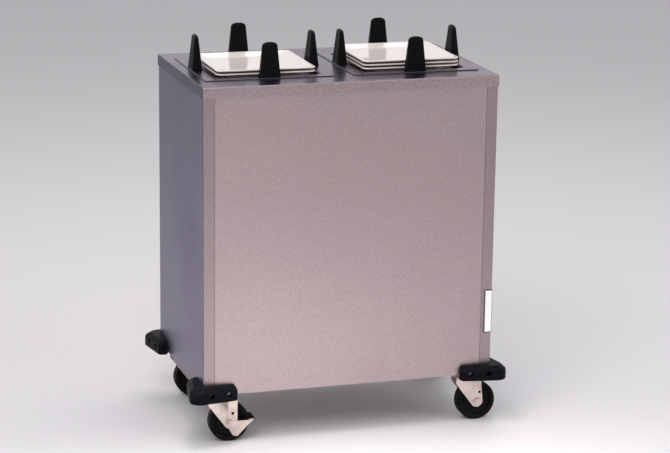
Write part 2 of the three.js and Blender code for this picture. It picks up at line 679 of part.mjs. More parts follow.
/** Fork: bearing cup, crown and two legs that slant back to the axle. */
function casterFork(braked) {
  const tail = CASTER_TRAIL + CROWN_TAIL;
  const shoulder = [-CROWN_LEAD, crownBottom - FORK_SHOULDER];
  const [dx, dz] = [shoulder[0] - CASTER_TRAIL, shoulder[1] - axleZ];
  const bearing = THREE.MathUtils.radToDeg(Math.atan2(dz, dx));
  const spread = THREE.MathUtils.radToDeg(Math.acos(FORK_BOSS / Math.hypot(dx, dz)));
  const legOutline = [
    [-CROWN_LEAD, crownBottom + 1],
    shoulder,
    ...arc(CASTER_TRAIL, axleZ, FORK_BOSS, bearing + spread, 375, 7),
    [tail, crownBottom + 1],
  ];
  const legs = [[-forkOuter, -forkInner], [forkInner, forkOuter]]
    .map(([y0, y1]) => prismAlongY(legOutline, y0, y1));
  const crown = block([-CROWN_LEAD, -forkOuter, crownBottom],
    [tail, forkOuter, crownBottom + CROWN_SHEET]);
  const cup = turned([
    [0, crownBottom + 1],
    [CROWN_RADIUS, crownBottom + 1],
    [CROWN_RADIUS, crownTop - 2],
    [CROWN_RADIUS - 2, crownTop],
    [0, crownTop],
  ], 16);
  const strap = (y0, y1) => block([CASTER_TRAIL - STRAP_LEAD, y0, axleZ - AXLE_NUT],
    [CASTER_TRAIL + STRAP_TAIL, y1, crownBottom + CROWN_SHEET]);
  const straps = braked
    ? [strap(-strapOuter, 1 - forkOuter), strap(forkOuter - 1, strapOuter)]
    : [];
  const reach = strapOuter + 1;
  const holes = [
    cylinder('z', KINGPIN_RADIUS + GAP, crownBottom - 1, crownTop + 1, [0, 0], 12),
    cylinder('y', AXLE_RADIUS + GAP, -reach, reach, [CASTER_TRAIL, axleZ], 12),
    cylinder('y', FORK_HOLE_RADIUS, -reach, reach,
      [CASTER_TRAIL + FORK_HOLE_LAG, axleZ + FORK_HOLE_RISE], 8),
  ];
  return cut(join(crown, cup, legs, straps), holes);
}

/** Axle bolt with its head and nut, outside the fork and, on a braked caster, the yoke. */
function casterAxle(braked) {
  const seat = braked ? yokeOuter + GAP : forkOuter + GAP;
  const centre = [CASTER_TRAIL, axleZ];
  return join(
    cylinder('y', AXLE_RADIUS, -seat - 1, seat + AXLE_NUT_HEIGHT + THREAD_END, centre, 12),
    cylinder('y', AXLE_NUT, -seat - AXLE_NUT_HEIGHT, -seat, centre, 6),
    cylinder('y', AXLE_NUT, seat, seat + AXLE_NUT_HEIGHT, centre, 6),
  );
}

/** Wheel, drawn about the Y axis with its flats at the wheel's radius, and moved to its axle. */
function wheel() {
  const [tread, web, hub] = [TREAD_WIDTH / 2, WEB_THICKNESS / 2, HUB_LENGTH / 2];
  const surfaceRadius = WHEEL_RADIUS / Math.cos(Math.PI / WHEEL_FACETS);
  const rim = WHEEL_RADIUS - TREAD_DEPTH;
  const half = [
    [AXLE_RADIUS + GAP, hub],
    [HUB_RADIUS, hub],
    [HUB_RADIUS + 1, web],
    [rim, web],
    [rim + 2, tread],
    [surfaceRadius - 5, tread],
    [surfaceRadius, tread - 5],
  ];
  const other = half.map(([radius, y]) => [radius, -y]).reverse();
  const points = [...half, ...other, half[0]].map(([radius, y]) => new THREE.Vector2(radius, y));
  const geometry = new THREE.LatheGeometry(points, WHEEL_FACETS, Math.PI / WHEEL_FACETS);
  return solid(geometry.translate(CASTER_TRAIL, 0, axleZ));
}

/** Brake yoke: a plate on each side of the fork, joined by the foot tread. */
function brakePedal() {
  const [x, z] = [CASTER_TRAIL, axleZ];
  const treadStart = x + WHEEL_RADIUS + BRAKE_CLEARANCE;
  const treadEnd = treadStart + BRAKE_TREAD;
  const treadBottom = z + BRAKE_RISE;
  const treadTop = treadBottom + BRAKE_TREAD_DEPTH;
  const outline = [
    ...arc(x, z, BRAKE_BOSS, 20, 230, 7),
    [x + BRAKE_HEEL - BRAKE_BOSS, z - BRAKE_HEEL_DROP + BRAKE_WEB],
    [x + BRAKE_HEEL, z - BRAKE_HEEL_DROP],
    [treadStart - 1, z - BRAKE_WEB],
    [treadEnd - 1, treadBottom + 1],
    [treadEnd - 1, treadTop],
    [treadStart, treadTop],
    [treadStart - BRAKE_WEB, z + BRAKE_WEB],
  ];
  const sides = [[-yokeOuter, -yokeInner], [yokeInner, yokeOuter]]
    .map(([y0, y1]) => prismAlongY(outline, y0, y1));
  const tread = block([treadStart, -yokeOuter, treadBottom], [treadEnd, yokeOuter, treadTop]);
  const bore = cylinder('y', AXLE_RADIUS + GAP, -yokeOuter - 1, yokeOuter + 1, [x, z], 12);
  return cut(join(sides, tread), bore);
}

function buildCasters(cabinet) {
  CASTERS.forEach(({ name, x, y, braked }) => {
    const caster = placed(cabinet, x, y);
    piece(caster, `caster_plate_${name}`, casterPlate(), 'zincPlate');
    piece(caster, `caster_fork_${name}`, casterFork(braked), 'zincPlate');
    piece(caster, `caster_axle_${name}`, casterAxle(braked), 'zincPlate');
    piece(caster, `wheel_${name}`, wheel(), 'wheelRubber');
    if (braked) piece(caster, `brake_pedal_${name}`, brakePedal(), 'zincPlate');
  });
}

// ---------------------------------------------------------------------------------------------
// Dispensers
// ---------------------------------------------------------------------------------------------

// The four sides of a dispenser, each turned from the right-hand one.
const SIDES = [
  { name: 'right', turn: 0 },
  { name: 'back', turn: QUARTER },
  { name: 'left', turn: 2 * QUARTER },
  { name: 'front', turn: 3 * QUARTER },
];

/** One post's two studs, nuts or holes. */
function postStudLine(radius, z0, z1) {
  return [-1, 1].map((side) =>
    cylinder('z', radius, z0, z1, [studOffset, (side * POST_STUD_SPACING) / 2], 6));
}

const onAllSides = (body) => SIDES.map(({ turn }) => copyAt(body, 0, 0, turn));

/** Square flange with a downturned collar around the well. */
function flange() {
  const square = (half, radius) => roundedRectangle(half, half, radius);
  const collarHalf = wellHalf + FLANGE_SHEET;
  const body = join(
    prism(square(flangeHalf, FLANGE_CORNER), flangeBottom, flangeTop),
    prism(square(collarHalf, WELL_CORNER + FLANGE_SHEET), collarBottom, flangeBottom + 1),
  );
  const well = prism(square(wellHalf, WELL_CORNER), collarBottom - 1, flangeTop + 1);
  const holes = postStudLine(POST_STUD_RADIUS + GAP, flangeBottom - 1, flangeTop + 1);
  return cut(body, well, onAllSides(join(holes)));
}

/** Guide post: a wedge with a rounded tip, and two studs with nuts under the flange. */
function guidePost() {
  const level = (height, width, thickness) => ({
    z: postFoot + height,
    outline: roundedRectangle(thickness / 2, width / 2, Math.min(4, thickness / 2.5), 2)
      .map(([x, y]) => [x + postOffset, y]),
  });
  const shoulder = POST_HEIGHT - 10;
  const body = loft([
    level(0, POST_WIDTH, POST_THICKNESS),
    level(3, POST_WIDTH - 2, POST_THICKNESS - 2),
    level(shoulder, POST_TIP_WIDTH, POST_TIP_THICKNESS + 1),
    level(POST_HEIGHT - 4, POST_TIP_WIDTH - 4, POST_TIP_THICKNESS),
    level(POST_HEIGHT - 1, POST_TIP_WIDTH - 11, POST_TIP_THICKNESS - 2),
    level(POST_HEIGHT, POST_TIP_WIDTH - 18, POST_TIP_THICKNESS - 4),
  ]);
  const nutTop = flangeBottom - GAP;
  const nutBottom = nutTop - POST_NUT_HEIGHT;
  return join(body,
    postStudLine(POST_STUD_RADIUS, nutBottom - 1, postFoot + 1),
    postStudLine(POST_NUT_RADIUS, nutBottom, nutTop));
}

/** Welded frame that hangs under the flange: corner angles, lower ring, rods, spring bars. */
function liftFrame() {
  const angle = cut(
    block([frameHalf - FRAME_ANGLE, frameHalf - FRAME_ANGLE, FRAME_FOOT],
      [frameHalf, frameHalf, hangTop]),
    block([0, 0, FRAME_FOOT - 1], [frameHalf - FRAME_SHEET, frameHalf - FRAME_SHEET, hangTop + 1]),
  );
  const ring = squareRing(frameHalf, FRAME_RING_WIDTH, FRAME_FOOT, ringTop);
  const rods = [-rodOffset, rodOffset].map((x) =>
    cylinder('z', ROD_RADIUS, ringTop - 1, hangTop, [x, 0], 12));
  const barEdge = frameHalf - FRAME_SHEET / 2;
  const spreader = block([-barEdge, springOffset - SPRING_RADIUS, springBarBottom],
    [barEdge, barEdge, springBarTop]);
  const bars = [0, 2 * QUARTER].map((turn) => copyAt(spreader, 0, 0, turn));
  return join(onAllSides(angle), ring, rods, bars);
}

/** Carriage: platform, cage with two rings, eyes for the bushes and shelves for the springs. */
function carriage() {
  const platform = cut(
    centredBlock(platformHalf, platformHalf, platformTop - PLATFORM_SHEET, platformTop),
    cylinder('z', PLATFORM_HOLE, platformTop - PLATFORM_SHEET - 1, platformTop + 1, [0, 0], 16),
  );
  const legInner = platformHalf - CAGE_BAR;
  const leg = block([legInner, legInner, cageLower], [platformHalf, platformHalf, platformTop - 1]);
  const rings = [cageLower, cageUpper].map((z) =>
    squareRing(platformHalf, CAGE_BAR, z, z + FRAME_BAR));
  const eyes = [[cageLower, bushOuter], [cageUpper, ROD_RADIUS]].flatMap(([z, filled]) => {
    const arm = block([legInner, -EYE_WIDTH / 2, z], [eyeReach, EYE_WIDTH / 2, z + EYE_HEIGHT]);
    const bore = cylinder('z', filled + GAP, z - 1, z + EYE_HEIGHT + 1, [rodOffset, 0], 12);
    return [0, 2 * QUARTER].map((turn) => copyAt(cut(arm, bore), 0, 0, turn));
  });
  const shelf = block([-SPRING_SHELF / 2, legInner, cageLower],
    [SPRING_SHELF / 2, springOffset + SPRING_RADIUS - 1, shelfTop]);
  const shelves = [0, 2 * QUARTER].map((turn) => copyAt(shelf, 0, 0, turn));
  return join(platform, onAllSides(leg), rings, eyes, shelves);
}

/** Flanged nylon bush in a lower eye of the carriage, around a guide rod. */
function bush(x) {
  const [bore, outer] = [ROD_RADIUS + GAP, bushOuter];
  const collar = cageLower + EYE_HEIGHT + GAP;
  const sleeve = turned([
    [bore, cageLower],
    [outer, cageLower],
    [outer, collar],
    [outer + BUSH_FLANGE, collar],
    [outer + BUSH_FLANGE, collar + BUSH_FLANGE],
    [bore, collar + BUSH_FLANGE],
    [bore, cageLower],
  ], 12);
  return copyAt(sleeve, x, 0);
}

/** Extension spring from the frame's bar to the carriage's shelf, with a straight hook each end. */
function spring(y) {
  const top = springBarBottom - GAP;
  const bottom = shelfTop + GAP;
  const coil = turned([
    [0, bottom],
    [SPRING_WIRE, bottom],
    [SPRING_WIRE, bottom + SPRING_HOOK],
    [SPRING_RADIUS, bottom + SPRING_HOOK],
    [SPRING_RADIUS, top - SPRING_HOOK],
    [SPRING_WIRE, top - SPRING_HOOK],
    [SPRING_WIRE, top],
    [0, top],
  ], 10);
  return copyAt(coil, 0, y);
}

/** Square plate with a foot, a flat well and a raised rim. The plate's foot is at height zero. */
function plate() {
  const half = PLATE_SIDE / 2;
  const wellTop = PLATE_NEST - GAP;
  const underEdge = PLATE_HEIGHT - PLATE_RIM_EDGE;
  // Each step: inset from the plate's edge, and height.
  const steps = [
    [51, 2.5],
    [47, 0],
    [43, 0],
    [39, 4],
    [9, underEdge - 1.5],
    [0, underEdge],
    [0, PLATE_HEIGHT - 0.8],
    [1.2, PLATE_HEIGHT],
    [4, PLATE_HEIGHT],
    [31, wellTop + 1],
    [37, wellTop],
  ];
  return loft(steps.map(([inset, z]) => ({
    z,
    outline: roundedRectangle(half - inset, half - inset, PLATE_CORNER - inset * 0.1),
  })));
}

function buildDispenser(cabinet, name, x, plateCount) {
  const unit = placed(cabinet, x, 0);
  piece(unit, `flange_${name}`, flange(), 'satinSteel');
  SIDES.forEach((side) => {
    const quarter = placed(unit, 0, 0, side.turn);
    piece(quarter, `guide_post_${name}_${side.name}`, guidePost(), 'blackPlastic');
  });
  piece(unit, `lift_frame_${name}`, liftFrame(), 'zincPlate');
  piece(unit, `carriage_${name}`, carriage(), 'satinSteel');
  piece(unit, `bush_${name}_left`, bush(-rodOffset), 'whiteNylon');
  piece(unit, `bush_${name}_right`, bush(rodOffset), 'whiteNylon');
  piece(unit, `spring_${name}_front`, spring(-springOffset), 'springSteel');
  piece(unit, `spring_${name}_back`, spring(springOffset), 'springSteel');
  for (let i = 0; i < plateCount; i += 1) {
    const mesh = piece(unit, `plate_${name}_${i + 1}`, plate(), 'ivoryGlaze');
    mesh.position.z = platformTop + GAP + i * PLATE_NEST;
  }
}

// ---------------------------------------------------------------------------------------------
// The whole cart
// ---------------------------------------------------------------------------------------------

const cart = new THREE.Group();
cart.name = 'plate_dispenser_cart';
buildCabinet(cart);
buildLabel(cart);
buildCasters(cart);
buildDispenser(cart, 'left', -stackX, LEFT_PLATES);
buildDispenser(cart, 'right', stackX, RIGHT_PLATES);

export default cart;
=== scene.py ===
"""A mobile plate dispenser: a stainless cabinet on swivel casters with two wells of plates.

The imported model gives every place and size. This file dresses its nodes in finishes, or stands
a finer surface in their place. Surfaces are drawn in millimetres, in the model's own frame: the
floor at height 0, the front towards -Y.
"""

import math

import bmesh
import bpy
import numpy as np
from bpy.props import FloatProperty, FloatVectorProperty, IntProperty, PointerProperty
from mathutils import Matrix, Vector


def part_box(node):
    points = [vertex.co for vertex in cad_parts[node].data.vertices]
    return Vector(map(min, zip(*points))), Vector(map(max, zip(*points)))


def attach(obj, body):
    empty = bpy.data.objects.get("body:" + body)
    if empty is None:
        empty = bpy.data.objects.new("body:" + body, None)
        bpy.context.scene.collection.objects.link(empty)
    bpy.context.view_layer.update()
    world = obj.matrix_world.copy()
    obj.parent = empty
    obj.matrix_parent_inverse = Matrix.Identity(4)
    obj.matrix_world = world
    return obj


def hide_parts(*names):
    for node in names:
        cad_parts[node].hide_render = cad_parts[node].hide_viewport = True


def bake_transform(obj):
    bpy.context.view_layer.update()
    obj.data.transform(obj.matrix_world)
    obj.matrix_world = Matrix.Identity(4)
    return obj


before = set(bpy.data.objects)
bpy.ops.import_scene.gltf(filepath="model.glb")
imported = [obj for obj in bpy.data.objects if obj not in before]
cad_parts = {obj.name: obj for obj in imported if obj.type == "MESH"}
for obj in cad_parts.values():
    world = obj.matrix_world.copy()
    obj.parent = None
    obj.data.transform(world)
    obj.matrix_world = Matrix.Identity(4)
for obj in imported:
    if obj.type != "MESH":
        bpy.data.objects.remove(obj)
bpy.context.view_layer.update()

bl_info = {
    "name": "Plate dispenser cart",
    "version": (1, 0, 0),
    "blender": (4, 5, 0),
    "location": "View3D > Sidebar > Plate cart",
    "description": "Builds the surfaces and finishes of a mobile plate dispenser",
    "category": "Object",
}

MM = 0.001

# Corner name: side in X, side in Y, quarter turns from the front right corner.
CORNERS = {
    "front_right": (1, -1, 0),
    "back_right": (1, 1, 1),
    "back_left": (-1, 1, 2),
    "front_left": (-1, -1, 3),
}
BRAKED = ("front_left", "back_left")
STACKS = {"left": 2, "right": 3}
SIDES = {"right": 0, "back": 1, "left": 2, "front": 3}


def span(node):
    """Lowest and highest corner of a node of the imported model, in millimetres."""
    low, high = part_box(node)
    return np.array(low) / MM, np.array(high) / MM


def foot_and_top(node):
    """Lowest and highest Z of a node."""
    low, high = span(node)
    return low[2], high[2]


def width(node):
    """Size of a node along X."""
    low, high = span(node)
    return float(high[0] - low[0])


def middle(node, height=0.0):
    """The point at a height above the floor on the upright middle line of a node."""
    low, high = span(node)
    return np.array([(low[0] + high[0]) / 2, (low[1] + high[1]) / 2, height])


DECK_LOW, DECK_HIGH = span("deck_top")
WALL_LOW, WALL_HIGH = span("side_panel_right")
STACK_X = {side: float(middle(f"flange_{side}")[0]) for side in STACKS}
PLATE_SIDE = width("plate_left_1")
WHEEL_RADIUS = width("wheel_front_right") / 2


# ===== Outlines and profiles =====

def rays(angle):
    """The points (cos a, sin a)."""
    return np.stack([np.cos(angle), np.sin(angle)], axis=-1)


def arc(x, y, radius, start, end, steps):
    """Points (x + r cos a, y + r sin a), a running from start to end in degrees."""
    return np.array([x, y]) + radius * rays(np.radians(np.linspace(start, end, steps + 1)))


def soften(points, radii, steps=5):
    """A polyline whose inner corners P become curves (1-t)^2 A + 2t(1-t) P + t^2 C, where A and
    C lie one radius before and after P along the line."""
    points = np.asarray(points, float)
    t = np.linspace(0, 1, steps + 1)[:, None]
    parts = [points[:1]]
    for before, corner, after, radius in zip(points, points[1:], points[2:], radii):
        back, on = before - corner, after - corner
        near = min(radius, 0.49 * np.linalg.norm(back), 0.49 * np.linalg.norm(on))
        start = corner + back / np.linalg.norm(back) * near
        end = corner + on / np.linalg.norm(on) * near
        parts.append((1 - t) ** 2 * start + 2 * t * (1 - t) * corner + t ** 2 * end)
    return np.concatenate(parts + [points[-1:]])


def rounded_rectangle(half_x, half_y, radius, steps=8):
    """Four quarter arcs whose centres stand a radius inside the corners. Sizes may be arrays,
    one rectangle for each entry: the result is (rectangles, points, 2)."""
    given = (half_x, half_y, radius)
    half_x, half_y, radius = np.broadcast_arrays(*(np.atleast_1d(np.float64(g)) for g in given))
    angle = np.radians((np.arange(4)[:, None] * 90 + np.linspace(0, 90, steps + 1)).ravel())
    sign_x = np.repeat([1, -1, -1, 1], steps + 1)
    sign_y = np.repeat([1, 1, -1, -1], steps + 1)
    x = (half_x - radius)[:, None] * sign_x + radius[:, None] * np.cos(angle)
    y = (half_y - radius)[:, None] * sign_y + radius[:, None] * np.sin(angle)
    return np.stack([x, y], axis=-1)


def inset(outline, distance):
    """The outline moved inward: each point p goes to p - d (a + b) / (1 + a.b), where a and b
    are the outward normals of the two edges that meet there."""
    following = np.roll(outline, -1, axis=0)
    edge = following - outline
    normal = np.stack([edge[:, 1], -edge[:, 0]], axis=-1)
    normal /= np.linalg.norm(normal, axis=1, keepdims=True)
    normal *= np.sign(np.sum(outline[:, 0] * following[:, 1] - outline[:, 1] * following[:, 0]))
    before = np.roll(normal, 1, axis=0)
    mitre = (normal + before) / (1 + np.sum(normal * before, axis=1, keepdims=True))
    return outline - distance * mitre


def turn_z(quarters):
    """Quarter turns about Z."""
    c, s = ((1, 0), (0, 1), (-1, 0), (0, -1))[quarters % 4]
    return np.array([[c, -s, 0], [s, c, 0], [0, 0, 1]], float)


# (x, y, z) to (x, z, -y): what was drawn round Z then lies round Y, its top towards +Y.
Z_TO_Y = np.array([[1, 0, 0], [0, 0, 1], [0, -1, 0]], float)
# (x, y, z) to (x, -z, y): an outline drawn flat then stands upright, its top towards -Y.
UPRIGHT = np.array([[1, 0, 0], [0, 0, -1], [0, 1, 0]], float)
# (x, y, z) to (z, x, y): an outline drawn flat then stands across X.
ACROSS = np.array([[0, 0, 1], [1, 0, 0], [0, 1, 0]], float)


# ===== Shells =====

class Shell:
    """Points, in millimetres, and faces of one piece, gathered part by part."""

    def __init__(self):
        self.points = np.zeros((0, 3))
        self.faces = []

    def add(self, points, faces):
        start = len(self.points)
        self.points = np.concatenate([self.points, np.reshape(points, (-1, 3))])
        self.faces += [(np.asarray(face) + start).tolist() for face in faces]
        return self

    def skin(self, rings, closed=False, caps=True):
        """Quads between neighbouring rings (levels, points, 3). A closed skin joins its last
        ring to its first, an open one may get a flat face over each end."""
        levels, across = rings.shape[:2]
        level = np.arange(levels if closed else levels - 1)[:, None]
        place = np.arange(across)[None, :]
        above, beside = (level + 1) % levels, (place + 1) % across
        corners = (level * across + place, level * across + beside,
                   above * across + beside, above * across + place)
        quads = np.stack(np.broadcast_arrays(*corners), axis=-1).reshape(-1, 4)
        ends = [] if closed or not caps else [np.arange(across)[::-1],
                                              np.arange(across) + (levels - 1) * across]
        return self.add(rings, [*quads, *ends])

    def stack(self, outlines, heights, closed=False, caps=True):
        """A skin over flat outlines (levels, points, 2), each at its height."""
        heights = np.broadcast_to(np.reshape(heights, (-1, 1, 1)), (*outlines.shape[:2], 1))
        return self.skin(np.concatenate([outlines, heights], axis=-1), closed, caps)

    def lathe(self, profile, steps, closed=False):
        """A profile of (r, z) turned about Z: x = r cos a, y = r sin a."""
        profile = np.asarray(profile, float)
        circle = rays(np.linspace(0, 2 * math.pi, steps, endpoint=False))
        return self.stack(profile[:, :1, None] * circle, profile[:, 1], closed, caps=False)

    def rod(self, radius, low, high, steps=32):
        """A plain cylinder about Z."""
        return self.lathe([(0, low), (radius, low), (radius, high), (0, high)], steps)

    def prism(self, outline, low, high, edge=0.0):
        """A flat outline raised from low to high. Its rims are quarter rounds: the outline is
        inset by e (1 - sin a) at a height e (1 - cos a) from the end."""
        outline = np.asarray(outline, float)
        turn = np.linspace(0, math.pi / 2, 4 if edge else 1)
        rim_in, rim_up = edge * (1 - np.sin(turn)), edge * (1 - np.cos(turn))
        heights = np.concatenate([low + rim_up, high - rim_up[::-1]])
        return self.stack(np.stack([inset(outline, i) for i in (*rim_in, *rim_in[::-1])]), heights)

    def block(self, low, high):
        """A box between two corners."""
        (x, y, foot), (far_x, far_y, top) = low, high
        return self.prism([(far_x, far_y), (x, far_y), (x, y), (far_x, y)], foot, top)

    def hexagon(self, corner, low, high):
        """A hexagonal head about Z, its corners at the given radius. At angle a its radius is
        f / cos(a'), a' measured from the middle of a flat, cut off by a cone that leaves the
        top edge at 0.95 f."""
        angle = np.radians(np.arange(0, 360, 7.5))
        flat = corner * math.cos(math.pi / 6)
        hexagon = flat / np.cos((angle % (math.pi / 3)) - math.pi / 6)
        limit = np.array([corner, corner, 0.965 * corner, 0.93 * corner, 0.95 * flat])
        drop = (limit - limit[-1]) * 0.55
        height = np.concatenate([[low], high - np.sign(high - low) * drop[1:]])
        radius = np.minimum(hexagon[None], limit[:, None])
        return self.stack(radius[..., None] * rays(angle), height)

    def tube(self, path, radius, sides):
        """A circle carried along a path, square to its tangent T. Its axes are T x k and
        T x (T x k) for a fixed slanted direction k, so it doesn't twist."""
        path = np.asarray(path, float)
        tangent = np.gradient(path, axis=0)
        tangent /= np.linalg.norm(tangent, axis=1, keepdims=True)
        side = np.cross(tangent, [0.6, 0.0, 0.8])
        side /= np.linalg.norm(side, axis=1, keepdims=True)
        other = np.cross(tangent, side)
        angle = np.linspace(0, 2 * math.pi, sides, endpoint=False)[None, :, None]
        ring = np.cos(angle) * side[:, None] + np.sin(angle) * other[:, None]
        return self.skin(path[:, None] + radius * ring)

    def placed(self, matrix=None, offset=(0, 0, 0)):
        """A copy whose points p are at M p + offset."""
        copy = Shell()
        points = self.points if matrix is None else self.points @ matrix.T
        return copy.add(points + np.asarray(offset, float), self.faces)

    def join(self, *others):
        for other in others:
            self.add(other.points, other.faces)
        return self

    def mesh(self, name="work"):
        """The shell in metres, doubles merged and normals turned outward."""
        mesh = bpy.data.meshes.new(name)
        mesh.from_pydata((self.points * MM).tolist(), [], self.faces)
        work = bmesh.new()
        work.from_mesh(mesh)
        bmesh.ops.remove_doubles(work, verts=work.verts, dist=2e-6)
        bmesh.ops.dissolve_degenerate(work, edges=work.edges, dist=1e-6)
        bmesh.ops.recalc_face_normals(work, faces=work.faces)
        work.to_mesh(mesh)
        work.free()
        return mesh


def new_object(name, data):
    """An object at the origin, linked to the scene."""
    obj = bpy.data.objects.new(name, data)
    bpy.context.scene.collection.objects.link(obj)
    return obj


def combined(body, tool, operation="DIFFERENCE"):
    """The mesh of a shell or mesh with a tool shell cut out of it, or joined to it."""
    first, second = (new_object("work", m.mesh() if isinstance(m, Shell) else m)
                     for m in (body, tool))
    modifier = first.modifiers.new("Work", "BOOLEAN")
    modifier.operation = operation
    modifier.solver = "EXACT"
    modifier.object = second
    bpy.context.view_layer.update()
    evaluated = first.evaluated_get(bpy.context.evaluated_depsgraph_get())
    result = bpy.data.meshes.new_from_object(evaluated)
    if not len(result.polygons):
        raise RuntimeError("nothing is left after a cut")
    for obj in (first, second):
        bpy.data.objects.remove(obj)
    return result


def add_piece(name, surface, finish, node, body="cabinet", sharp=38.0):
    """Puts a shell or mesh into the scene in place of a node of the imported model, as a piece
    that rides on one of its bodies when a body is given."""
    mesh = surface.mesh(name) if isinstance(surface, Shell) else surface
    mesh.name = name
    mesh.materials.clear()
    mesh.materials.append(finish_named(finish))
    mesh.polygons.foreach_set("material_index", np.zeros(len(mesh.polygons), np.int32))
    mesh.polygons.foreach_set("use_smooth", np.ones(len(mesh.polygons), bool))
    mesh.set_sharp_from_angle(angle=math.radians(sharp))
    obj = new_object(name, mesh)
    weighted = obj.modifiers.new("Flat faces stay flat", "WEIGHTED_NORMAL")
    weighted.keep_sharp = True
    if body:
        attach(obj, body)
    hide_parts(node)
    return obj


def paint_shade_by_facing(obj, axis, finish):
    """Gives another finish to the faces whose normal n has |n . axis| above 0.7: painted light and
    shade, one steel in a lighter or darker tone by the way each face points.
    """
    mesh = obj.data
    mesh.materials.append(finish_named(finish))
    normals = np.zeros(len(mesh.polygons) * 3)
    mesh.polygons.foreach_get("normal", normals)
    slots = np.zeros(len(mesh.polygons), np.int32)
    mesh.polygons.foreach_get("material_index", slots)
    slots[np.abs(normals.reshape(-1, 3) @ axis) > 0.7] = len(mesh.materials) - 1
    mesh.polygons.foreach_set("material_index", slots)


def dress(finish, *nodes):
    """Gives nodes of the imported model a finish."""
    for node in nodes:
        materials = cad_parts[node].data.materials
        materials.clear()
        materials.append(finish_named(finish))


# ===== Effects that several finishes share =====

class Wiring:
    """Short ways to place nodes in a tree. A value is a number, a tuple or an output socket."""

    def __init__(self, tree):
        self.tree = tree

    def node(self, kind, **values):
        node = self.tree.nodes.new("ShaderNode" + kind)
        for label, value in values.items():
            self.feed(node.inputs[label.replace("_", " ")], value)
        return node

    def feed(self, socket, value):
        if isinstance(value, bpy.types.NodeSocket):
            self.tree.links.new(value, socket)
        else:
            socket.default_value = value

    def calc(self, operation, first, second, clamp=False):
        node = self.tree.nodes.new("ShaderNodeMath")
        node.operation = operation
        node.use_clamp = clamp
        self.feed(node.inputs[0], first)
        self.feed(node.inputs[1], second)
        return node.outputs[0]

    def plus(self, first, second, clamp=False):
        return self.calc("ADD", first, second, clamp)

    def times(self, first, second):
        return self.calc("MULTIPLY", first, second)

    def swing(self, first, second, strength):
        """1 + s (a + b - 1): two noises that swing about 1 by a strength."""
        away = self.calc("SUBTRACT", self.plus(first, second), 1.0)
        return self.plus(self.times(away, strength), 1.0)

    def remap(self, value, low, high, to_low=0.0, to_high=1.0):
        return self.node("MapRange", Value=value, From_Min=low, From_Max=high,
                         To_Min=to_low, To_Max=to_high).outputs["Result"]

    def stretch(self, vector, factors):
        node = self.tree.nodes.new("ShaderNodeVectorMath")
        node.operation = "MULTIPLY"
        self.feed(node.inputs[0], vector)
        self.feed(node.inputs[1], factors)
        return node.outputs[0]

    def noise(self, vector, scale, detail=3.0, roughness=0.55):
        return self.node("TexNoise", Vector=vector, Scale=scale, Detail=detail,
                         Roughness=roughness).outputs["Fac"]

    def mix(self, first, second, factor, blend="MIX"):
        node = self.tree.nodes.new("ShaderNodeMix")
        node.data_type = "RGBA"
        node.blend_type = blend
        for index, value in ((0, factor), (6, first), (7, second)):
            self.feed(node.inputs[index], (*value, 1.0) if isinstance(value, tuple) else value)
        return node.outputs[2]


def brushed_grain(wire, given):
    """Noise on stretched coordinates, long one way and fine the other, over a broader streak of
    the same direction. Shade swings about 1 by Strength; Height is the fine grain alone."""
    stretched = wire.stretch(given["Vector"], given["Stretch"])
    fine = wire.noise(stretched, 1.0, 4.0, 0.75)
    wide = wire.noise(stretched, 0.16, 3.0, 0.6)
    return {"Shade": wire.swing(fine, wide, given["Strength"]), "Height": fine}


def satin_speckle(wire, given):
    """Two noises of a few millimetres, one twice as fine as the other: the pebbled sparkle of
    satin sheet. Shade swings about 1 by Strength."""
    fine = wire.noise(given["Vector"], given["Scale"], 1.0, 0.6)
    finer = wire.noise(given["Vector"], wire.times(given["Scale"], 2.1), 1.0, 0.6)
    return {"Shade": wire.swing(fine, finer, given["Strength"])}


def handling_marks(wire, given):
    """Broad clouds broken up by finer ones: 0 where clean, 1 where most handled."""
    broad = wire.remap(wire.noise(given["Vector"], given["Scale"], 2.0), 0.42, 0.68)
    fine = wire.noise(given["Vector"], wire.times(given["Scale"], 8.0), 5.0, 0.6)
    return {"Mask": wire.times(broad, wire.remap(fine, 0.3, 0.7, 0.35, 1.0))}


def fine_scratches(wire, given):
    """The crests of three noises, each stretched long along a direction of its own."""
    crests = 0.0
    for turn, stretch in ((0.4, (9.0, 460.0, 460.0)), (-0.7, (420.0, 11.0, 300.0)),
                          (1.2, (300.0, 380.0, 8.0))):
        turned = wire.node("Mapping", Vector=given["Vector"], Rotation=(turn, 0.7 * turn, turn),
                           Scale=stretch)
        crest = wire.remap(wire.noise(turned.outputs[0], 1.0, 2.0), 0.66, 0.74)
        crests = wire.calc("MAXIMUM", crest, crests)
    return {"Mask": wire.times(crests, given["Amount"])}


def moulded_skin(wire, given):
    """Soft cells of a Voronoi pattern with noise between them, as a height."""
    cells = wire.node("TexVoronoi", Vector=given["Vector"], Scale=given["Scale"])
    rough = wire.noise(given["Vector"], wire.times(given["Scale"], 0.35), 3.0)
    return {"Height": wire.plus(wire.times(cells.outputs["Distance"], 0.5), rough)}


def settled_dust(wire, given):
    """Upward faces and the height below Reach gather dust, broken up by noise."""
    facing = wire.node("SeparateXYZ", Vector=wire.node("NewGeometry").outputs["Normal"])
    place = wire.node("SeparateXYZ", Vector=given["Vector"])
    upward = wire.remap(facing.outputs["Z"], 0.3, 1.0, 0.0, 0.45)
    low = wire.remap(place.outputs["Z"], 0.0, given["Reach"], 0.8, 0.0)
    cloud = wire.remap(wire.noise(given["Vector"], 70.0, 5.0, 0.65), 0.35, 0.72)
    dust = wire.times(wire.plus(upward, low, clamp=True), cloud)
    return {"Mask": wire.times(dust, given["Amount"])}


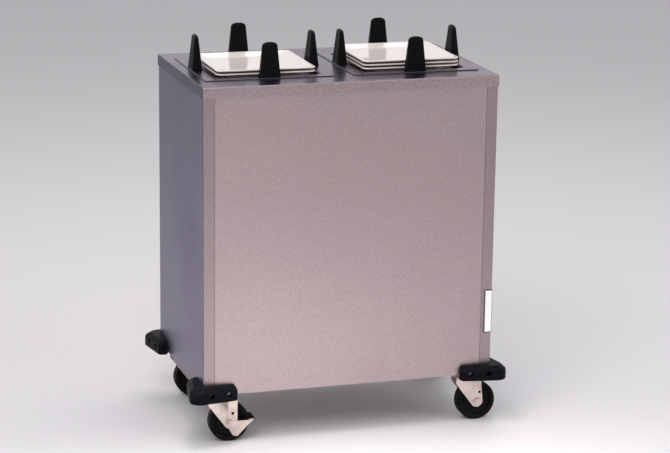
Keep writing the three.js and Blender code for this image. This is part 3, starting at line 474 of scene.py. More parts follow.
# Effect: the function that wires it, and its inputs beside the place on the object.
EFFECTS = {
    "Brushed grain": (brushed_grain, {"Stretch": (20.0, 900.0, 900.0), "Strength": 0.1}),
    "Satin speckle": (satin_speckle, {"Scale": 330.0, "Strength": 0.3}),
    "Handling marks": (handling_marks, {"Scale": 5.0}),
    "Fine scratches": (fine_scratches, {"Amount": 0.5}),
    "Moulded skin": (moulded_skin, {"Scale": 900.0}),
    "Settled dust": (settled_dust, {"Reach": 0.12, "Amount": 0.5}),
}
MADE = {}


def effect_group(name):
    """The shader node group of an effect, with named sockets, built at its first use."""
    if name in MADE:
        return MADE[name]
    wiring, inputs = EFFECTS[name]
    group = MADE[name] = bpy.data.node_groups.new(name, "ShaderNodeTree")
    for label, default in {"Vector": (0.0, 0.0, 0.0), **inputs}.items():
        kind = "NodeSocketVector" if isinstance(default, tuple) else "NodeSocketFloat"
        socket = group.interface.new_socket(label, in_out="INPUT", socket_type=kind)
        socket.default_value = default
    wire = Wiring(group)
    results = wiring(wire, group.nodes.new("NodeGroupInput").outputs)
    for label in results:
        group.interface.new_socket(label, in_out="OUTPUT", socket_type="NodeSocketFloat")
    end = group.nodes.new("NodeGroupOutput")
    for label, value in results.items():
        wire.feed(end.inputs[label], value)
    return group


# ===== Finishes =====

class Finish(Wiring):
    """A material with one Principled BSDF. Effects are placed on Object coordinates."""

    def __init__(self, name, **uniform):
        self.material = bpy.data.materials.new(name)
        self.material.use_nodes = True
        super().__init__(self.material.node_tree)
        self.shader = self.tree.nodes["Principled BSDF"]
        for label, value in uniform.items():
            self.drive(label.replace("_", " "), value)
        self.place = self.tree.nodes.new("ShaderNodeTexCoord").outputs["Object"]

    def effect(self, name, **values):
        node = self.tree.nodes.new("ShaderNodeGroup")
        node.node_tree = effect_group(name)
        for label, value in {"Vector": self.place, **values}.items():
            self.feed(node.inputs[label], value)
        return node.outputs

    def mask(self, name, **values):
        return self.effect(name, **values)["Mask"]

    def shaded(self, colour, shade):
        """The colour times a grey value that changes over the surface."""
        grey = self.node("CombineColor", Red=shade, Green=shade, Blue=shade)
        return self.mix(colour, grey.outputs[0], 1.0, "MULTIPLY")

    def tinted(self, base, colour, mask, amount):
        """The base mixed towards a colour by a mask times an amount."""
        return self.mix(base, colour, self.times(mask, amount))

    def drive(self, label, value):
        self.feed(self.shader.inputs[label], value)

    def rough(self, least, cloud, rise, mask, amount):
        """Roughness that rises from the least where cloudy, and by an amount under a mask."""
        clouded = self.remap(cloud, 0.0, 1.0, least, least + rise)
        return self.plus(clouded, self.times(mask, amount))

    def surface(self, base, rough, height, strength, distance):
        """Drives the colour, the roughness and the bump, and gives the material."""
        bump = self.node("Bump", Height=height, Strength=strength, Distance=distance)
        for label, value in (("Base Color", base), ("Roughness", rough),
                             ("Normal", bump.outputs["Normal"])):
            self.drive(label, value)
        return self.material


def dimmed(colour, factor):
    return tuple(channel * factor for channel in colour)


ROAD_DUST = (0.19, 0.17, 0.15)
PALE_DUST = (0.16, 0.145, 0.135)
SCUFFED_BLACK = (0.04, 0.038, 0.042)
SPECK = (0.42, 0.37, 0.30)
WORN_GLAZE = (0.46, 0.45, 0.44)


def brushed_steel(name, colour, roughness, stretch, strength=0.05, speckle=0.8, marks=2.6):
    """Satin stainless steel: grain one way, speckle, cloudy marks, a few hairline scratches."""
    finish = Finish(name, Metallic=1.0)
    grain = finish.effect("Brushed grain", Stretch=stretch, Strength=strength)
    dots = finish.effect("Satin speckle", Strength=speckle)
    cloud = finish.mask("Handling marks", Scale=marks)
    hair = finish.mask("Fine scratches", Amount=0.4)
    shade = finish.times(grain["Shade"], dots["Shade"])
    clean = finish.shaded(colour, shade)
    handled = finish.shaded(dimmed(colour, 0.96), shade)
    base = finish.tinted(finish.mix(clean, handled, cloud), dimmed(colour, 1.2), hair, 0.25)
    flecks = finish.remap(grain["Height"], 0.3, 0.7, -0.03, 0.03)
    rough = finish.plus(finish.rough(roughness, cloud, 0.09, hair, 0.08), flecks)
    return finish.surface(base, rough, grain["Height"], 0.25, 0.00002)


def plated_steel(name, colour, roughness, dust=0.5):
    """Plated steel: fine crystalline mottling, dull patches and road dust near the floor."""
    finish = Finish(name, Metallic=1.0)
    mottle = finish.noise(finish.place, 420.0, 4.0, 0.6)
    cloud = finish.mask("Handling marks", Scale=22.0)
    dirt = finish.mask("Settled dust", Amount=dust, Reach=0.16)
    base = finish.shaded(colour, finish.remap(mottle, 0.3, 0.7, 0.92, 1.07))
    base = finish.mix(finish.mix(base, dimmed(colour, 0.72), cloud), ROAD_DUST, dirt)
    finish.drive("Metallic", finish.remap(dirt, 0.0, 1.0, 1.0, 0.25))
    rough = finish.rough(roughness, cloud, 0.14, dirt, 0.35)
    return finish.surface(base, rough, mottle, 0.2, 0.00004)


def moulded_black(name, colour, roughness, skin, dust, reach):
    """Black plastic or rubber: a fine moulded skin, scuffs that lift the gloss, pale dust."""
    finish = Finish(name, Specular_IOR_Level=0.06)
    height = finish.effect("Moulded skin", Scale=skin)["Height"]
    scuff = finish.mask("Fine scratches", Amount=0.6)
    cloud = finish.mask("Handling marks", Scale=16.0)
    dirt = finish.mask("Settled dust", Amount=dust, Reach=reach)
    base = finish.mix(colour, dimmed(colour, 2.0), cloud)
    base = finish.mix(finish.tinted(base, SCUFFED_BLACK, scuff, 0.4), PALE_DUST, dirt)
    rough = finish.rough(roughness, cloud, 0.12, dirt, 0.3)
    return finish.surface(base, rough, height, 0.35, 0.00008)


def ivory_glaze(name, colour):
    """Glazed ware: a slow waviness in the gloss, faint pooling of colour and rare specks."""
    finish = Finish(name, Coat_Weight=0.3, Coat_Roughness=0.12, IOR=1.5)
    pool = finish.noise(finish.place, 26.0, 4.0, 0.55)
    specks = finish.noise(finish.place, 1500.0, 2.0, 0.5)
    use = finish.mask("Fine scratches", Amount=0.35)
    base = finish.mix(colour, dimmed(colour, 0.9), finish.remap(pool, 0.4, 0.7))
    base = finish.mix(base, SPECK, finish.remap(specks, 0.735, 0.77, 0.0, 0.6))
    rough = finish.plus(finish.remap(pool, 0.3, 0.7, 0.16, 0.26), finish.times(use, 0.2))
    return finish.surface(finish.tinted(base, WORN_GLAZE, use, 0.3), rough, pool, 0.3, 0.0004)


def plain_moulding(name, colour, roughness, spread=0.1):
    """Unfilled plastic: cloudy colour, a faint skin and scuffs."""
    finish = Finish(name)
    cloud = finish.mask("Handling marks", Scale=30.0)
    scuff = finish.mask("Fine scratches", Amount=0.4)
    base = finish.mix(colour, dimmed(colour, 1.0 - spread), cloud)
    base = finish.tinted(base, dimmed(colour, 0.75), scuff, 0.4)
    rough = finish.remap(cloud, 0.0, 1.0, roughness, roughness + 0.1)
    height = finish.effect("Moulded skin", Scale=1400.0)["Height"]
    return finish.surface(base, rough, height, 0.2, 0.00004)


def card_paper(name, colour):
    """Blank card: short fibres seen as a faint mottling of colour and height."""
    finish = Finish(name)
    fibre = finish.noise(finish.stretch(finish.place, (1800.0, 1800.0, 700.0)), 1.0, 4.0, 0.6)
    cloud = finish.remap(finish.noise(finish.place, 60.0, 2.0), 0.45, 0.75)
    base = finish.shaded(colour, finish.remap(fibre, 0.3, 0.7, 0.965, 1.0))
    return finish.surface(finish.mix(base, dimmed(colour, 0.93), cloud), 0.8, fibre, 0.3, 0.00005)


# How a grain that runs along X, Y or Z is stretched.
ALONG_X, ALONG_Y, ALONG_Z = (14.0, 700.0, 700.0), (700.0, 14.0, 700.0), (700.0, 700.0, 14.0)

# Finish: its maker, the colour that it takes, how much of that colour, and the maker's values.
FINISHES = {
    "panel_steel": (brushed_steel, "panel", 1.0, dict(roughness=0.36, stretch=ALONG_X)),
    # Painted shade: the stiles face front and back, so they take the front's tone, dimmed to 0.78
    # and 0.80.
    "left_stile_steel": (brushed_steel, "panel", 0.78, dict(roughness=0.36, stretch=ALONG_Z)),
    "right_stile_steel": (brushed_steel, "panel", 0.80, dict(roughness=0.36, stretch=ALONG_Z)),
    # The deck's front and back faces take the front's tone; its ends a painted shade at 0.46 of the
    # side walls' tone.
    "skirt_steel": (brushed_steel, "panel", 0.95, dict(roughness=0.32, stretch=ALONG_X)),
    # Painted shade: the side walls in a darker tone of the front's steel.
    "side_steel": (brushed_steel, "side", 1.0,
                   dict(roughness=0.34, stretch=ALONG_Z, strength=0.06)),
    "side_skirt_steel": (brushed_steel, "side", 0.46,
                         dict(roughness=0.34, stretch=ALONG_Y, strength=0.07, speckle=0.6)),
    # Painted dark reflection: the deck and the flanges in a tone far darker than the front's steel.
    "deck_steel": (brushed_steel, "deck", 1.0, dict(
        roughness=0.24, stretch=ALONG_X, strength=0.12, speckle=0.2, marks=4.0)),
    "rim_steel": (brushed_steel, "rim", 1.0, dict(
        roughness=0.24, stretch=ALONG_Y, strength=0.10, speckle=0.2, marks=5.0)),
    "inner_steel": (brushed_steel, "inner", 1.0, dict(
        roughness=0.38, stretch=ALONG_X, strength=0.10, speckle=0.2, marks=6.0)),
    "nickel": (plated_steel, "nickel", 1.0, dict(roughness=0.30)),
    "zinc": (plated_steel, "zinc", 1.0, dict(roughness=0.36, dust=0.3)),
    "screw_steel": (plated_steel, "screws", 1.0, dict(roughness=0.28, dust=0.35)),
    "spring_wire": (plated_steel, "wire", 1.0, dict(roughness=0.32, dust=0.2)),
    "post_plastic": (moulded_black, "post", 1.0,
                     dict(roughness=0.38, skin=1100.0, dust=0.02, reach=0.1)),
    "bumper_rubber": (moulded_black, "bumper", 1.0,
                      dict(roughness=0.45, skin=800.0, dust=0.04, reach=0.15)),
    "tyre_rubber": (moulded_black, "tyre", 1.0,
                    dict(roughness=0.5, skin=900.0, dust=0.08, reach=0.09)),
    "wheel_plastic": (moulded_black, "wheel", 1.0,
                      dict(roughness=0.42, skin=1300.0, dust=0.06, reach=0.09)),
    "white_nylon": (plain_moulding, "nylon", 1.0, dict(roughness=0.45)),
    "grey_moulding": (plain_moulding, "holder", 1.0, dict(roughness=0.42, spread=0.2)),
    "glaze": (ivory_glaze, "glaze", 1.0, {}),
    "card": (card_paper, "card", 1.0, {}),
}


def finish_named(name):
    """The finish of that name, made from the scene's colours at its first use."""
    if name not in MADE:
        maker, label, share, values = FINISHES[name]
        colour = dimmed(getattr(bpy.context.scene.cart_colours, label), share)
        MADE[name] = maker(name, colour, **values)
    return MADE[name]


# ===== Sizes and colours that a user may change =====

def length(name, description, millimetres, most=100.0):
    return FloatProperty(name=name, description=description, default=millimetres * MM, min=0.0,
                         max=most * MM, unit="LENGTH", precision=5)


def colour(name, description, default):
    return FloatVectorProperty(name=name, description=description, default=default,
                               subtype="COLOR", size=3, min=0.0, max=1.0)


class CartSizes(bpy.types.PropertyGroup):
    """Roundings and small details, in metres."""
    deck_roll: length("Deck edge", "Radius of the deck's rolled edge", 3.0, 4.0)
    well_roll: length("Well edge", "Radius of the rolled edge around a well", 4.0, 6.0)
    wall_bend: length("Wall bend", "Outer radius of the side walls' bends", 3.0, 8.0)
    plate_edge: length("Plate edge", "Rounding of a plate's rim", 1.6, 1.7)
    bumper_edge: length("Bumper edge", "Rounding of a bumper's lower edge", 4.5, 8.0)
    tyre_shoulder: length("Tyre shoulder", "Rounding of the tread's edges", 6.0, 8.0)
    fork_edge: length("Pressed edge", "Rounding of the casters' pressed parts", 0.6, 1.0)
    spring_wire: length("Spring wire", "Radius of the spring wire", 1.2, 1.5)
    spring_turns: IntProperty(name="Spring turns", description="Coils of one lift spring",
                              default=44, min=8, max=80)


class CartColours(bpy.types.PropertyGroup):
    """Base colours of the finishes."""
    panel: colour("Front and back", "Satin steel of the front and back walls", (0.43, 0.343, 0.352))
    # Painted shade: the side walls' steel is the front's steel, set darker and bluer for their less
    # lit side.
    side: colour("Side walls", "Steel of the side walls, brushed upright", (0.155, 0.135, 0.215))
    # Painted dark reflection: the deck's and the flanges' steel set far darker than the front's.
    deck: colour("Deck", "Steel of the deck", (0.098, 0.083, 0.12))
    rim: colour("Well flanges", "Steel of the flanges around the wells", (0.094, 0.079, 0.115))
    inner: colour("Inside", "Steel of the floor and the carriages", (0.42, 0.40, 0.41))
    nickel: colour("Casters", "Nickel plating of forks, plates and brakes", (0.72, 0.60, 0.55))
    zinc: colour("Frames", "Zinc plating of rails and lift frames", (0.55, 0.56, 0.57))
    screws: colour("Screws", "Plating of the bumper screws", (0.13, 0.13, 0.14))
    wire: colour("Spring wire", "Drawn wire of the springs", (0.36, 0.36, 0.38))
    post: colour("Guide posts", "Black plastic of the guide posts", (0.0025, 0.0025, 0.0035))
    bumper: colour("Bumpers", "Black rubber of the bumpers", (0.0025, 0.0025, 0.0045))
    tyre: colour("Tyres", "Black rubber of the tyres", (0.003, 0.003, 0.0035))
    wheel: colour("Wheel cores", "Black plastic of the wheel cores", (0.004, 0.004, 0.005))
    nylon: colour("Bushes", "White nylon of the bushes", (0.80, 0.78, 0.72))
    # Partly painted shade: the holder's dark grey also stands for the shade round the card.
    holder: colour("Label holder", "Grey plastic of the label holder", (0.055, 0.055, 0.065))
    glaze: colour("Plates", "Ivory glaze of the plates", (0.79, 0.71, 0.67))
    card: colour("Card", "Blank label card", (0.92, 0.92, 0.91))


def sizes():
    """The sizes in millimetres, by name."""
    given = bpy.context.scene.cart_sizes
    return {label: getattr(given, label) * (1 if label == "spring_turns" else 1 / MM)
            for label in type(given).__annotations__}


# ===== Deck and walls =====

SHEET = 2  # thickness of the deck and the flanges
DECK_LIP = 24  # the deck's rings end this far inside its edge, and a flat face closes each end
WALL_SHEET = 1.2
STILE = 29  # width of a side wall's fold beside the front and the back wall
FLANGE = 32  # from a flange's edge to its well


def deck_tray(roll):
    """Tray upside down: rings run from the underside over the skirt's lower edge to the top,
    each a rounded rectangle inset from the deck's outline."""
    foot, top = DECK_LOW[2], DECK_HIGH[2]
    inner = soften([(DECK_LIP, top - SHEET), (SHEET, top - SHEET), (SHEET, foot)], [1.5])
    hem = soften([(SHEET, foot), (SHEET / 2, foot), (0, foot)], [0.4])
    outer = soften([(0, foot), (0, top), (DECK_LIP, top)], [1.15 * roll], 8)
    inward, height = np.concatenate([inner, hem[1:], outer[1:]]).T
    half_x, half_y = DECK_HIGH[:2]
    return Shell().stack(rounded_rectangle(half_x - inward, half_y - inward,
                                           np.maximum(4 - inward, 0.8)), height)


def well_flange(side, roll):
    """Square flange and collar in one closed loop: out over the deck, rolled into the well, down
    the collar and back up behind it. Each point of the loop is a rounded square."""
    node = f"flange_{side}"
    foot, top = foot_and_top(node)
    half = width(node) / 2
    well = half - FLANGE
    loop = np.concatenate([
        soften([(half, top - SHEET), (half, top), (well, top), (well, foot), (well + 1, foot)],
               [1.2, 1.3 * roll, 0.5], 6),
        soften([(well + 1, foot), (well + SHEET, foot), (well + SHEET, top - SHEET),
                (half, top - SHEET)], [0.5, 1.3 * roll], 6)[1:-1],
    ])
    outward = (loop[:, 0] - well) / (half - well)
    squares = rounded_rectangle(loop[:, 0], loop[:, 0], np.clip(9 - 4 * outward, 5, 11))
    return Shell().stack(squares, loop[:, 1], closed=True).placed(offset=(STACK_X[side], 0, 0))


class AddDeck(bpy.types.Operator):
    """Deck with its skirt, cut out for the two wells, and the flange of each well"""
    bl_idname = "plate_cart.add_deck"
    bl_label = "Deck and well flanges"

    def execute(self, context):
        size = sizes()
        half, top = width("flange_left") / 2 - 12, DECK_HIGH[2]
        cutouts = Shell()
        for x in STACK_X.values():
            cutouts.block((x - half, -half, top - 9), (x + half, half, top + 5))
        deck = add_piece("deck", combined(deck_tray(size["deck_roll"]), cutouts), "deck_steel",
                         "deck_top")
        # Painted light and shade by facing: the deck's top keeps its painted dark tone, its front
        # and back faces take the front's tone, its ends a painted shade.
        paint_shade_by_facing(deck, (0, 1, 0), "skirt_steel")
        paint_shade_by_facing(deck, (1, 0, 0), "side_skirt_steel")
        for side in STACKS:
            add_piece(f"well_flange_{side}", well_flange(side, size["well_roll"]), "rim_steel",
                      f"flange_{side}")
        return {"FINISHED"}


def side_wall(bend):
    """A C-shaped outline, right side: out along the front stile, round the bend, along the side
    and back, then the same one sheet further in."""
    x, y = WALL_HIGH[:2]
    end, inner_x, inner_y = x - STILE, x - WALL_SHEET, y - WALL_SHEET
    outer = soften([(end, -y), (x, -y), (x, y), (end, y)], [bend * 1.2] * 2, 8)
    inner = soften([(end, inner_y), (inner_x, inner_y), (inner_x, -inner_y), (end, -inner_y)],
                   [(bend - WALL_SHEET) * 1.2] * 2, 8)
    return Shell().prism(np.concatenate([outer, inner]), WALL_LOW[2], WALL_HIGH[2], 0.25)


def face_wall():
    """The front wall: flat between the stiles, its edges stepped back 1.5 mm behind them."""
    step, tongue = 1.5, 11
    edge, y = WALL_HIGH[0] - STILE - 0.5, WALL_HIGH[1]
    back, stepped_back = WALL_SHEET - y, WALL_SHEET + step - y
    half = soften([(0, back), (edge - WALL_SHEET, back), (edge - WALL_SHEET, stepped_back),
                   (edge + tongue, stepped_back), (edge + tongue, step - y), (edge, step - y),
                   (edge, -y), (0, -y)], [0.4, 0.4, 0.3, 0.3, 0.4, 0.9], 3)[1:-1]
    outline = np.concatenate([half, half[::-1] * [-1, 1]])
    return Shell().prism(outline, WALL_LOW[2], WALL_HIGH[2], 0.25)


class AddWalls(bpy.types.Operator):
    """Front, back and side walls of the cabinet"""
    bl_idname = "plate_cart.add_walls"
    bl_label = "Cabinet walls"

    def execute(self, context):
        side, face = side_wall(sizes()["wall_bend"]), face_wall()
        for name, quarters in (("right", 0), ("left", 2)):
            wall = add_piece(f"side_wall_{name}", side.placed(turn_z(quarters)), "side_steel",
                             f"side_panel_{name}")
            # Painted light and shade by facing: the stiles take the front's tone dimmed, the rest
            # of the wall the side walls' painted shade.
            paint_shade_by_facing(wall, (0, 1, 0), f"{name}_stile_steel")
        for name, quarters in (("front", 0), ("back", 2)):
            add_piece(f"{name}_wall", face.placed(turn_z(quarters)), "panel_steel",
                      f"{name}_panel")
        return {"FINISHED"}


class DressBase(bpy.types.Operator):
    """Finishes of the floor pan, the caster rails, the lift frames and the carriages"""
    bl_idname = "plate_cart.dress_base"
    bl_label = "Base and lift frames"

    def execute(self, context):
        dress("inner_steel", "base_pan", *(f"carriage_{side}" for side in STACKS))
        dress("zinc", "base_rail_left", "base_rail_right",
              *(f"lift_frame_{side}" for side in STACKS))
        return {"FINISHED"}


def label_frame():
    """Rings of a frame: outer edge, rounded face, window edge and back. The window's middle is
    shifted, because the border along the cabinet's corner is narrower."""
    border, narrow = 2.4, 0.8
    low, high = span("label_holder")
    half, centre = (high - low) / 2, (low + high) / 2
    depth = high[1] - low[1]
    loop = soften([(0, 0), (0, depth), (border, depth), (border, 1.0), (border / 2, 1.0)],
                  [0.5, 0.5, 0.2], 4)
    share = loop[:, 0] / border
    outlines = rounded_rectangle(half[0] - (border + narrow) / 2 * share, half[2] - loop[:, 0],
                                 np.clip(1.2 - 0.4 * share, 0.5, 2), 4)
    outlines[..., 0] += ((border - narrow) / 2 * share)[:, None]
    return Shell().stack(outlines, loop[:, 1]).placed(UPRIGHT, (centre[0], high[1], centre[2]))


class AddLabel(bpy.types.Operator):
    """Label holder on the right front stile, with a blank card in it"""
    bl_idname = "plate_cart.add_label"
    bl_label = "Label holder"

    def execute(self, context):
        # The frame's dark grey is partly the holder's own tone and partly painted shade round the
        # card.
        add_piece("label_frame", label_frame(), "grey_moulding", "label_holder")
        low, high = span("label_card")
        half, centre = (high - low) / 2, (high + low) / 2
        card = Shell().prism(rounded_rectangle(half[0], half[2], 0.8, 4)[0], -half[1], half[1], 0.1)
        add_piece("blank_card", card.placed(UPRIGHT, centre), "card", "label_card")
        return {"FINISHED"}


# ===== Corner bumpers =====

SCREW_PLACES = (14, 60)  # along each leg, from the cabinet's corner
SCREW_RISE = 8  # above the cabinet's foot


def bumper_ring(thinner, height):
    """Outline around a cabinet corner at the origin, front right: along the wall, round the
    leg's end, out to the corner's arc, and the same mirrored about the diagonal."""
    end, proud, leg = 24 - thinner, 38 - thinner, 84 - thinner / 2
    turn, corner = min(11.0, end - 1), 26
    half = np.concatenate([[[-leg, -0.3]], arc(turn - leg, turn - end, turn, 180, 270, 8),
                           arc(proud - corner, corner - proud, corner, 270, 315, 8)])
    mirrored = half[:-1][::-1] @ np.array([[0, -1], [-1, 0]])
    outline = np.concatenate([[[0.3, -0.3]], half, mirrored])
    return np.column_stack([outline, np.full(len(outline), height)])


def bumper_body(edge):
    """Skin over the outlines at each height: a rounded lower edge, a straight face, and a slope
    that sets the top 12 mm back over its last 11 mm. Two ledges reach under the cabinet."""
    foot, top = foot_and_top("bumper_front_right")
    profile = soften([(7, foot), (0, foot), (0, top - 11), (12, top), (17, top)],
                     [edge * 1.2, 5, 2.5], 6)
    body = Shell().skin(np.stack([bumper_ring(thinner, height) for thinner, height in profile]))
    for ledge in ([(-73, -1), (1, -1), (1, 5), (-73, 5)], [(-5, 4.9), (1, 4.9), (1, 73), (-5, 73)]):
        body.prism(ledge, foot + 0.5, WALL_LOW[2] - 0.3, 0.4)
    return body


def on_both_legs(shell):
    """Copies of a shell drawn round Z, its top outward, on the four screw lines of a bumper."""
    rise, side = WALL_LOW[2] + SCREW_RISE, turn_z(1) @ UPRIGHT
    copies = [shell.placed(UPRIGHT, (-along, 0, rise)) for along in SCREW_PLACES]
    copies += [shell.placed(side, (0, along, rise)) for along in SCREW_PLACES]
    return Shell().join(*copies)


def screw_head():
    """Pan head turned about Z, its seat 16 mm from the wall."""
    return Shell().lathe(soften([(0, 15.5), (6, 15.5), (6, 18), (5.2, 19.6), (2.4, 20), (0, 20)],
                                [0.2, 1.0, 1.6, 1.0], 5), 32)


def screw_cross():
    """Two blades that cut the cross into a screw's head."""
    reach, half, low, high = 3.1, 0.55, 18.4, 21
    return [Shell().block((-x, -y, low), (x, y, high)) for x, y in ((reach, half), (half, reach))]


class AddBumpers(bpy.types.Operator):
    """Rubber corner bumpers with their sunk screws"""
    bl_idname = "plate_cart.add_bumpers"
    bl_label = "Corner bumpers"

    def execute(self, context):
        bore = Shell().lathe([(0, 16), (6.3, 16), (6.3, 36), (7.3, 60), (0, 60)], 32)
        bores, heads, *blades = (on_both_legs(s) for s in (bore, screw_head(), *screw_cross()))
        body = bumper_body(sizes()["bumper_edge"])
        for name, (side_x, side_y, quarters) in CORNERS.items():
            place = turn_z(quarters), (side_x * WALL_HIGH[0], side_y * WALL_HIGH[1], 0)
            node = f"bumper_{name}"
            rubber = combined(body.placed(*place), bores.placed(*place))
            add_piece(f"bumper_rubber_{name}", rubber, "bumper_rubber", node)
            screws = heads.placed(*place)
            for blade in blades:
                screws = combined(screws, blade.placed(*place))
            add_piece(f"bumper_screws_{name}", screws, "screw_steel", node)
        return {"FINISHED"}


# ===== Casters and brakes =====

# Places along X are measured from the swivel's axis, heights from the floor.
TRAIL, AXLE_HEIGHT = 28, WHEEL_RADIUS
AXLE = (TRAIL, 0, AXLE_HEIGHT)
CROWN = 116  # underside of the fork's crown
FORK_FRONT, FORK_BACK = -30, TRAIL + 10
PLATE_FOOT, PLATE_TOP = 133, 136
BOLT_PLACES = [(x, y, 0) for x in (-30, 30) for y in (-22, 22)]
AXLE_BORE, PIN_BORE = 5.3, 6.3


def plate_bolt():
    """A bolt of the top plate: washer and hexagon head below, threaded end and nut above."""
    radius, across, end = 4, 6.5, PLATE_FOOT + 15.3
    bolt = Shell().rod(across + 1.2, PLATE_FOOT, PLATE_FOOT - 0.8)
    bolt.hexagon(across, PLATE_FOOT - 0.7, PLATE_FOOT - 5.0)
    bolt.lathe([(0, PLATE_FOOT), (radius, PLATE_FOOT), (radius, end - 0.8), (radius - 0.8, end),
                (0, end)], 24)
    return bolt.hexagon(across, PLATE_FOOT + 9.4, PLATE_FOOT + 14.2)


def top_plate(edge):
    """Plate with rounded corners, its four bolts, the raceway cup, the kingpin and its nut."""
    cup, pin = 127, 107.7
    plate = Shell().prism(rounded_rectangle(42, 32, 6)[0], PLATE_FOOT, PLATE_TOP, edge)
    plate.lathe(soften([(0, cup), (23.5, cup), (27, cup + 3.4), (27, cup + 6.2), (0, cup + 6.2)],
                       [3.0, 2.0, 0.2], 5), 64)
    plate.join(*(plate_bolt().placed(offset=place) for place in BOLT_PLACES))
    plate.lathe(soften([(0, pin), (5.2, pin), (6, pin + 0.9), (6, cup + 1), (0, cup + 1)],
                       [0.1, 0.5, 0.1]), 32)
    return plate.hexagon(10.5, pin + 8, pin + 2.1)


def fork_side():
    """Outline of a fork's leg, upright: a shoulder in front, then straight edges that meet the
    round end about the axle."""
    eye = 16
    shoulder = np.array([FORK_FRONT, CROWN - 14], float)
    reach = shoulder - [TRAIL, AXLE_HEIGHT]
    start = math.degrees(math.atan2(reach[1], reach[0]) + math.acos(eye / np.hypot(*reach)))
    end = arc(TRAIL, AXLE_HEIGHT, eye, start, 375, 24)
    lead = soften([(FORK_FRONT, CROWN + 1), shoulder, end[0]], [4], 6)[:-1]
    return np.concatenate([lead, end, [(FORK_BACK, CROWN + 1)]])


def fork_body(braked, edge):
    """Two legs and a crown bent from one sheet, joined, then bored for the axle, the small hole
    and the kingpin. The crown is an arch in YZ with bends of 6 mm, carried along X. A braked
    fork has a strap on each leg."""
    half, sheet, inner = 20.8, 2.5, 18.4
    legs = [Shell().prism(fork_side(), y, y + sheet, edge).placed(UPRIGHT)
            for y in (-half, half - sheet)]
    arch = soften([(-half, CROWN - 2), (-half, CROWN + 4), (half, CROWN + 4), (half, CROWN - 2),
                   (inner, CROWN - 2), (inner, CROWN), (-inner, CROWN), (-inner, CROWN - 2)],
                  [6.5, 6.5, 0.3, 0.3, 1.5, 1.5, 0.3], 6)
    parts = [Shell().prism(arch, FORK_FRONT, FORK_BACK, edge).placed(ACROSS), legs[1]]
    if braked:
        parts += [Shell().block((TRAIL - 5, y, AXLE_HEIGHT - 8.5), (TRAIL + 19, y + 2, CROWN + 3))
                  for y in (20.3, -22.3)]
    mesh = legs[0]
    for part in parts:
        mesh = combined(mesh, part, "UNION")
    bores = Shell().rod(AXLE_BORE, -30, 30).placed(Z_TO_Y, AXLE)
    hole = Shell().rod(3.8, -30, 30, 24)
    bores.join(hole.placed(Z_TO_Y, (TRAIL + 7, 0, AXLE_HEIGHT + 24)))
    return combined(mesh, bores.rod(PIN_BORE, CROWN - 3, CROWN + 6))


def race_cup():
    """Bearing cup on the crown: a ring turned about Z with a rolled upper lip."""
    foot, top = CROWN + 3.6, CROWN + 10.7
    loop = soften([(PIN_BORE, foot), (28, foot), (28, top), (22, top), (20, top - 1.5),
                   (PIN_BORE, top - 1.5)], [0.5, 3.0, 1.2, 1.2], 5)
    return Shell().lathe(np.concatenate([loop, loop[:1]]), 64)


def axle_bolt(seat):
    """Bolt along Y: a hexagon head with a washer in front, a nut and a threaded end behind."""
    turns = np.arange(8)
    thread = np.column_stack([5.0 - 0.45 * (turns % 2), seat + 6.1 + turns * 0.25])
    shell = Shell().lathe([(0, -seat - 3), (5, -seat - 3), (5, seat + 6.0), *thread,
                           (4.2, seat + 8), (0, seat + 8)], 32)
    shell.hexagon(8.5, -seat - 1.0, -seat - 6.0)
    shell.hexagon(8.5, seat + 1.0, seat + 6.0)
    for low, high in ((-seat - 1.1, -seat), (seat, seat + 1.1)):
        shell.rod(9.6, low, high, 40)
    return shell.placed(Z_TO_Y, AXLE)


def turned_pair(half):
    """A ring turned about Y at the axle from a profile (r, z) and its mirror image."""
    loop = np.concatenate([half, (half * [1, -1])[::-1]])
    return Shell().lathe(loop, 96, closed=True).placed(Z_TO_Y, AXLE)


def tyre(shoulder):
    """Tyre from its bead to its crown, with rounded shoulders and one shallow groove in each
    side wall."""
    return turned_pair(soften(
        [(36, 0), (36, 8.2), (37.5, 12.5), (40.5, 16), (44.8, 16), (45.2, 15.3), (45.8, 16),
         (WHEEL_RADIUS - 0.3, 15), (WHEEL_RADIUS, 10), (WHEEL_RADIUS, 0)],
        [0.5, 1.5, 1.5, 0.4, 0.4, 0.4, shoulder * 0.5, 3.0], 5))


def wheel_core():
    """Wheel core: a hub, a dished web and a raised ring that holds the tyre."""
    return turned_pair(soften(
        [(AXLE_BORE, 0), (AXLE_BORE, 18), (12.6, 18), (14, 16.5), (15.2, 8.6), (20, 7.4), (31, 7.4),
         (33.5, 9.2), (37.2, 9.2), (37.2, 0)], [0.4, 1.0, 1.0, 1.5, 1.5, 1.5, 1.0, 0.8], 4))


TREAD = TRAIL + WHEEL_RADIUS + 1.2  # the foot tread's near edge, just clear of the tyre


def brake_yoke(edge):
    """Outline of the yoke's side, upright, on each side of the fork: round about the axle, a
    heel that points down, and a horn up to the tread."""
    x, z = TRAIL, AXLE_HEIGHT
    rest = soften([(x - 7.7, z - 9.2), (x + 6, z - 33), (x + 18, z - 37), (TREAD - 1, z - 4),
                   (TREAD + 10.4, z + 4), (TREAD + 10.4, z + 7.4), (TREAD, z + 7.4),
                   (TREAD - 4, z + 4), (x + 11.3, z + 4.1)], [2, 4, 4, 1, 1, 1, 1], 4)
    outline = np.concatenate([arc(x, z, 12, 20, 230, 20), rest[1:-1]])
    sides = (Shell().prism(outline, -y - 2, -y, edge).placed(UPRIGHT) for y in (-24.6, 22.6))
    return combined(Shell().join(*sides), Shell().rod(AXLE_BORE, -30, 30).placed(Z_TO_Y, AXLE))


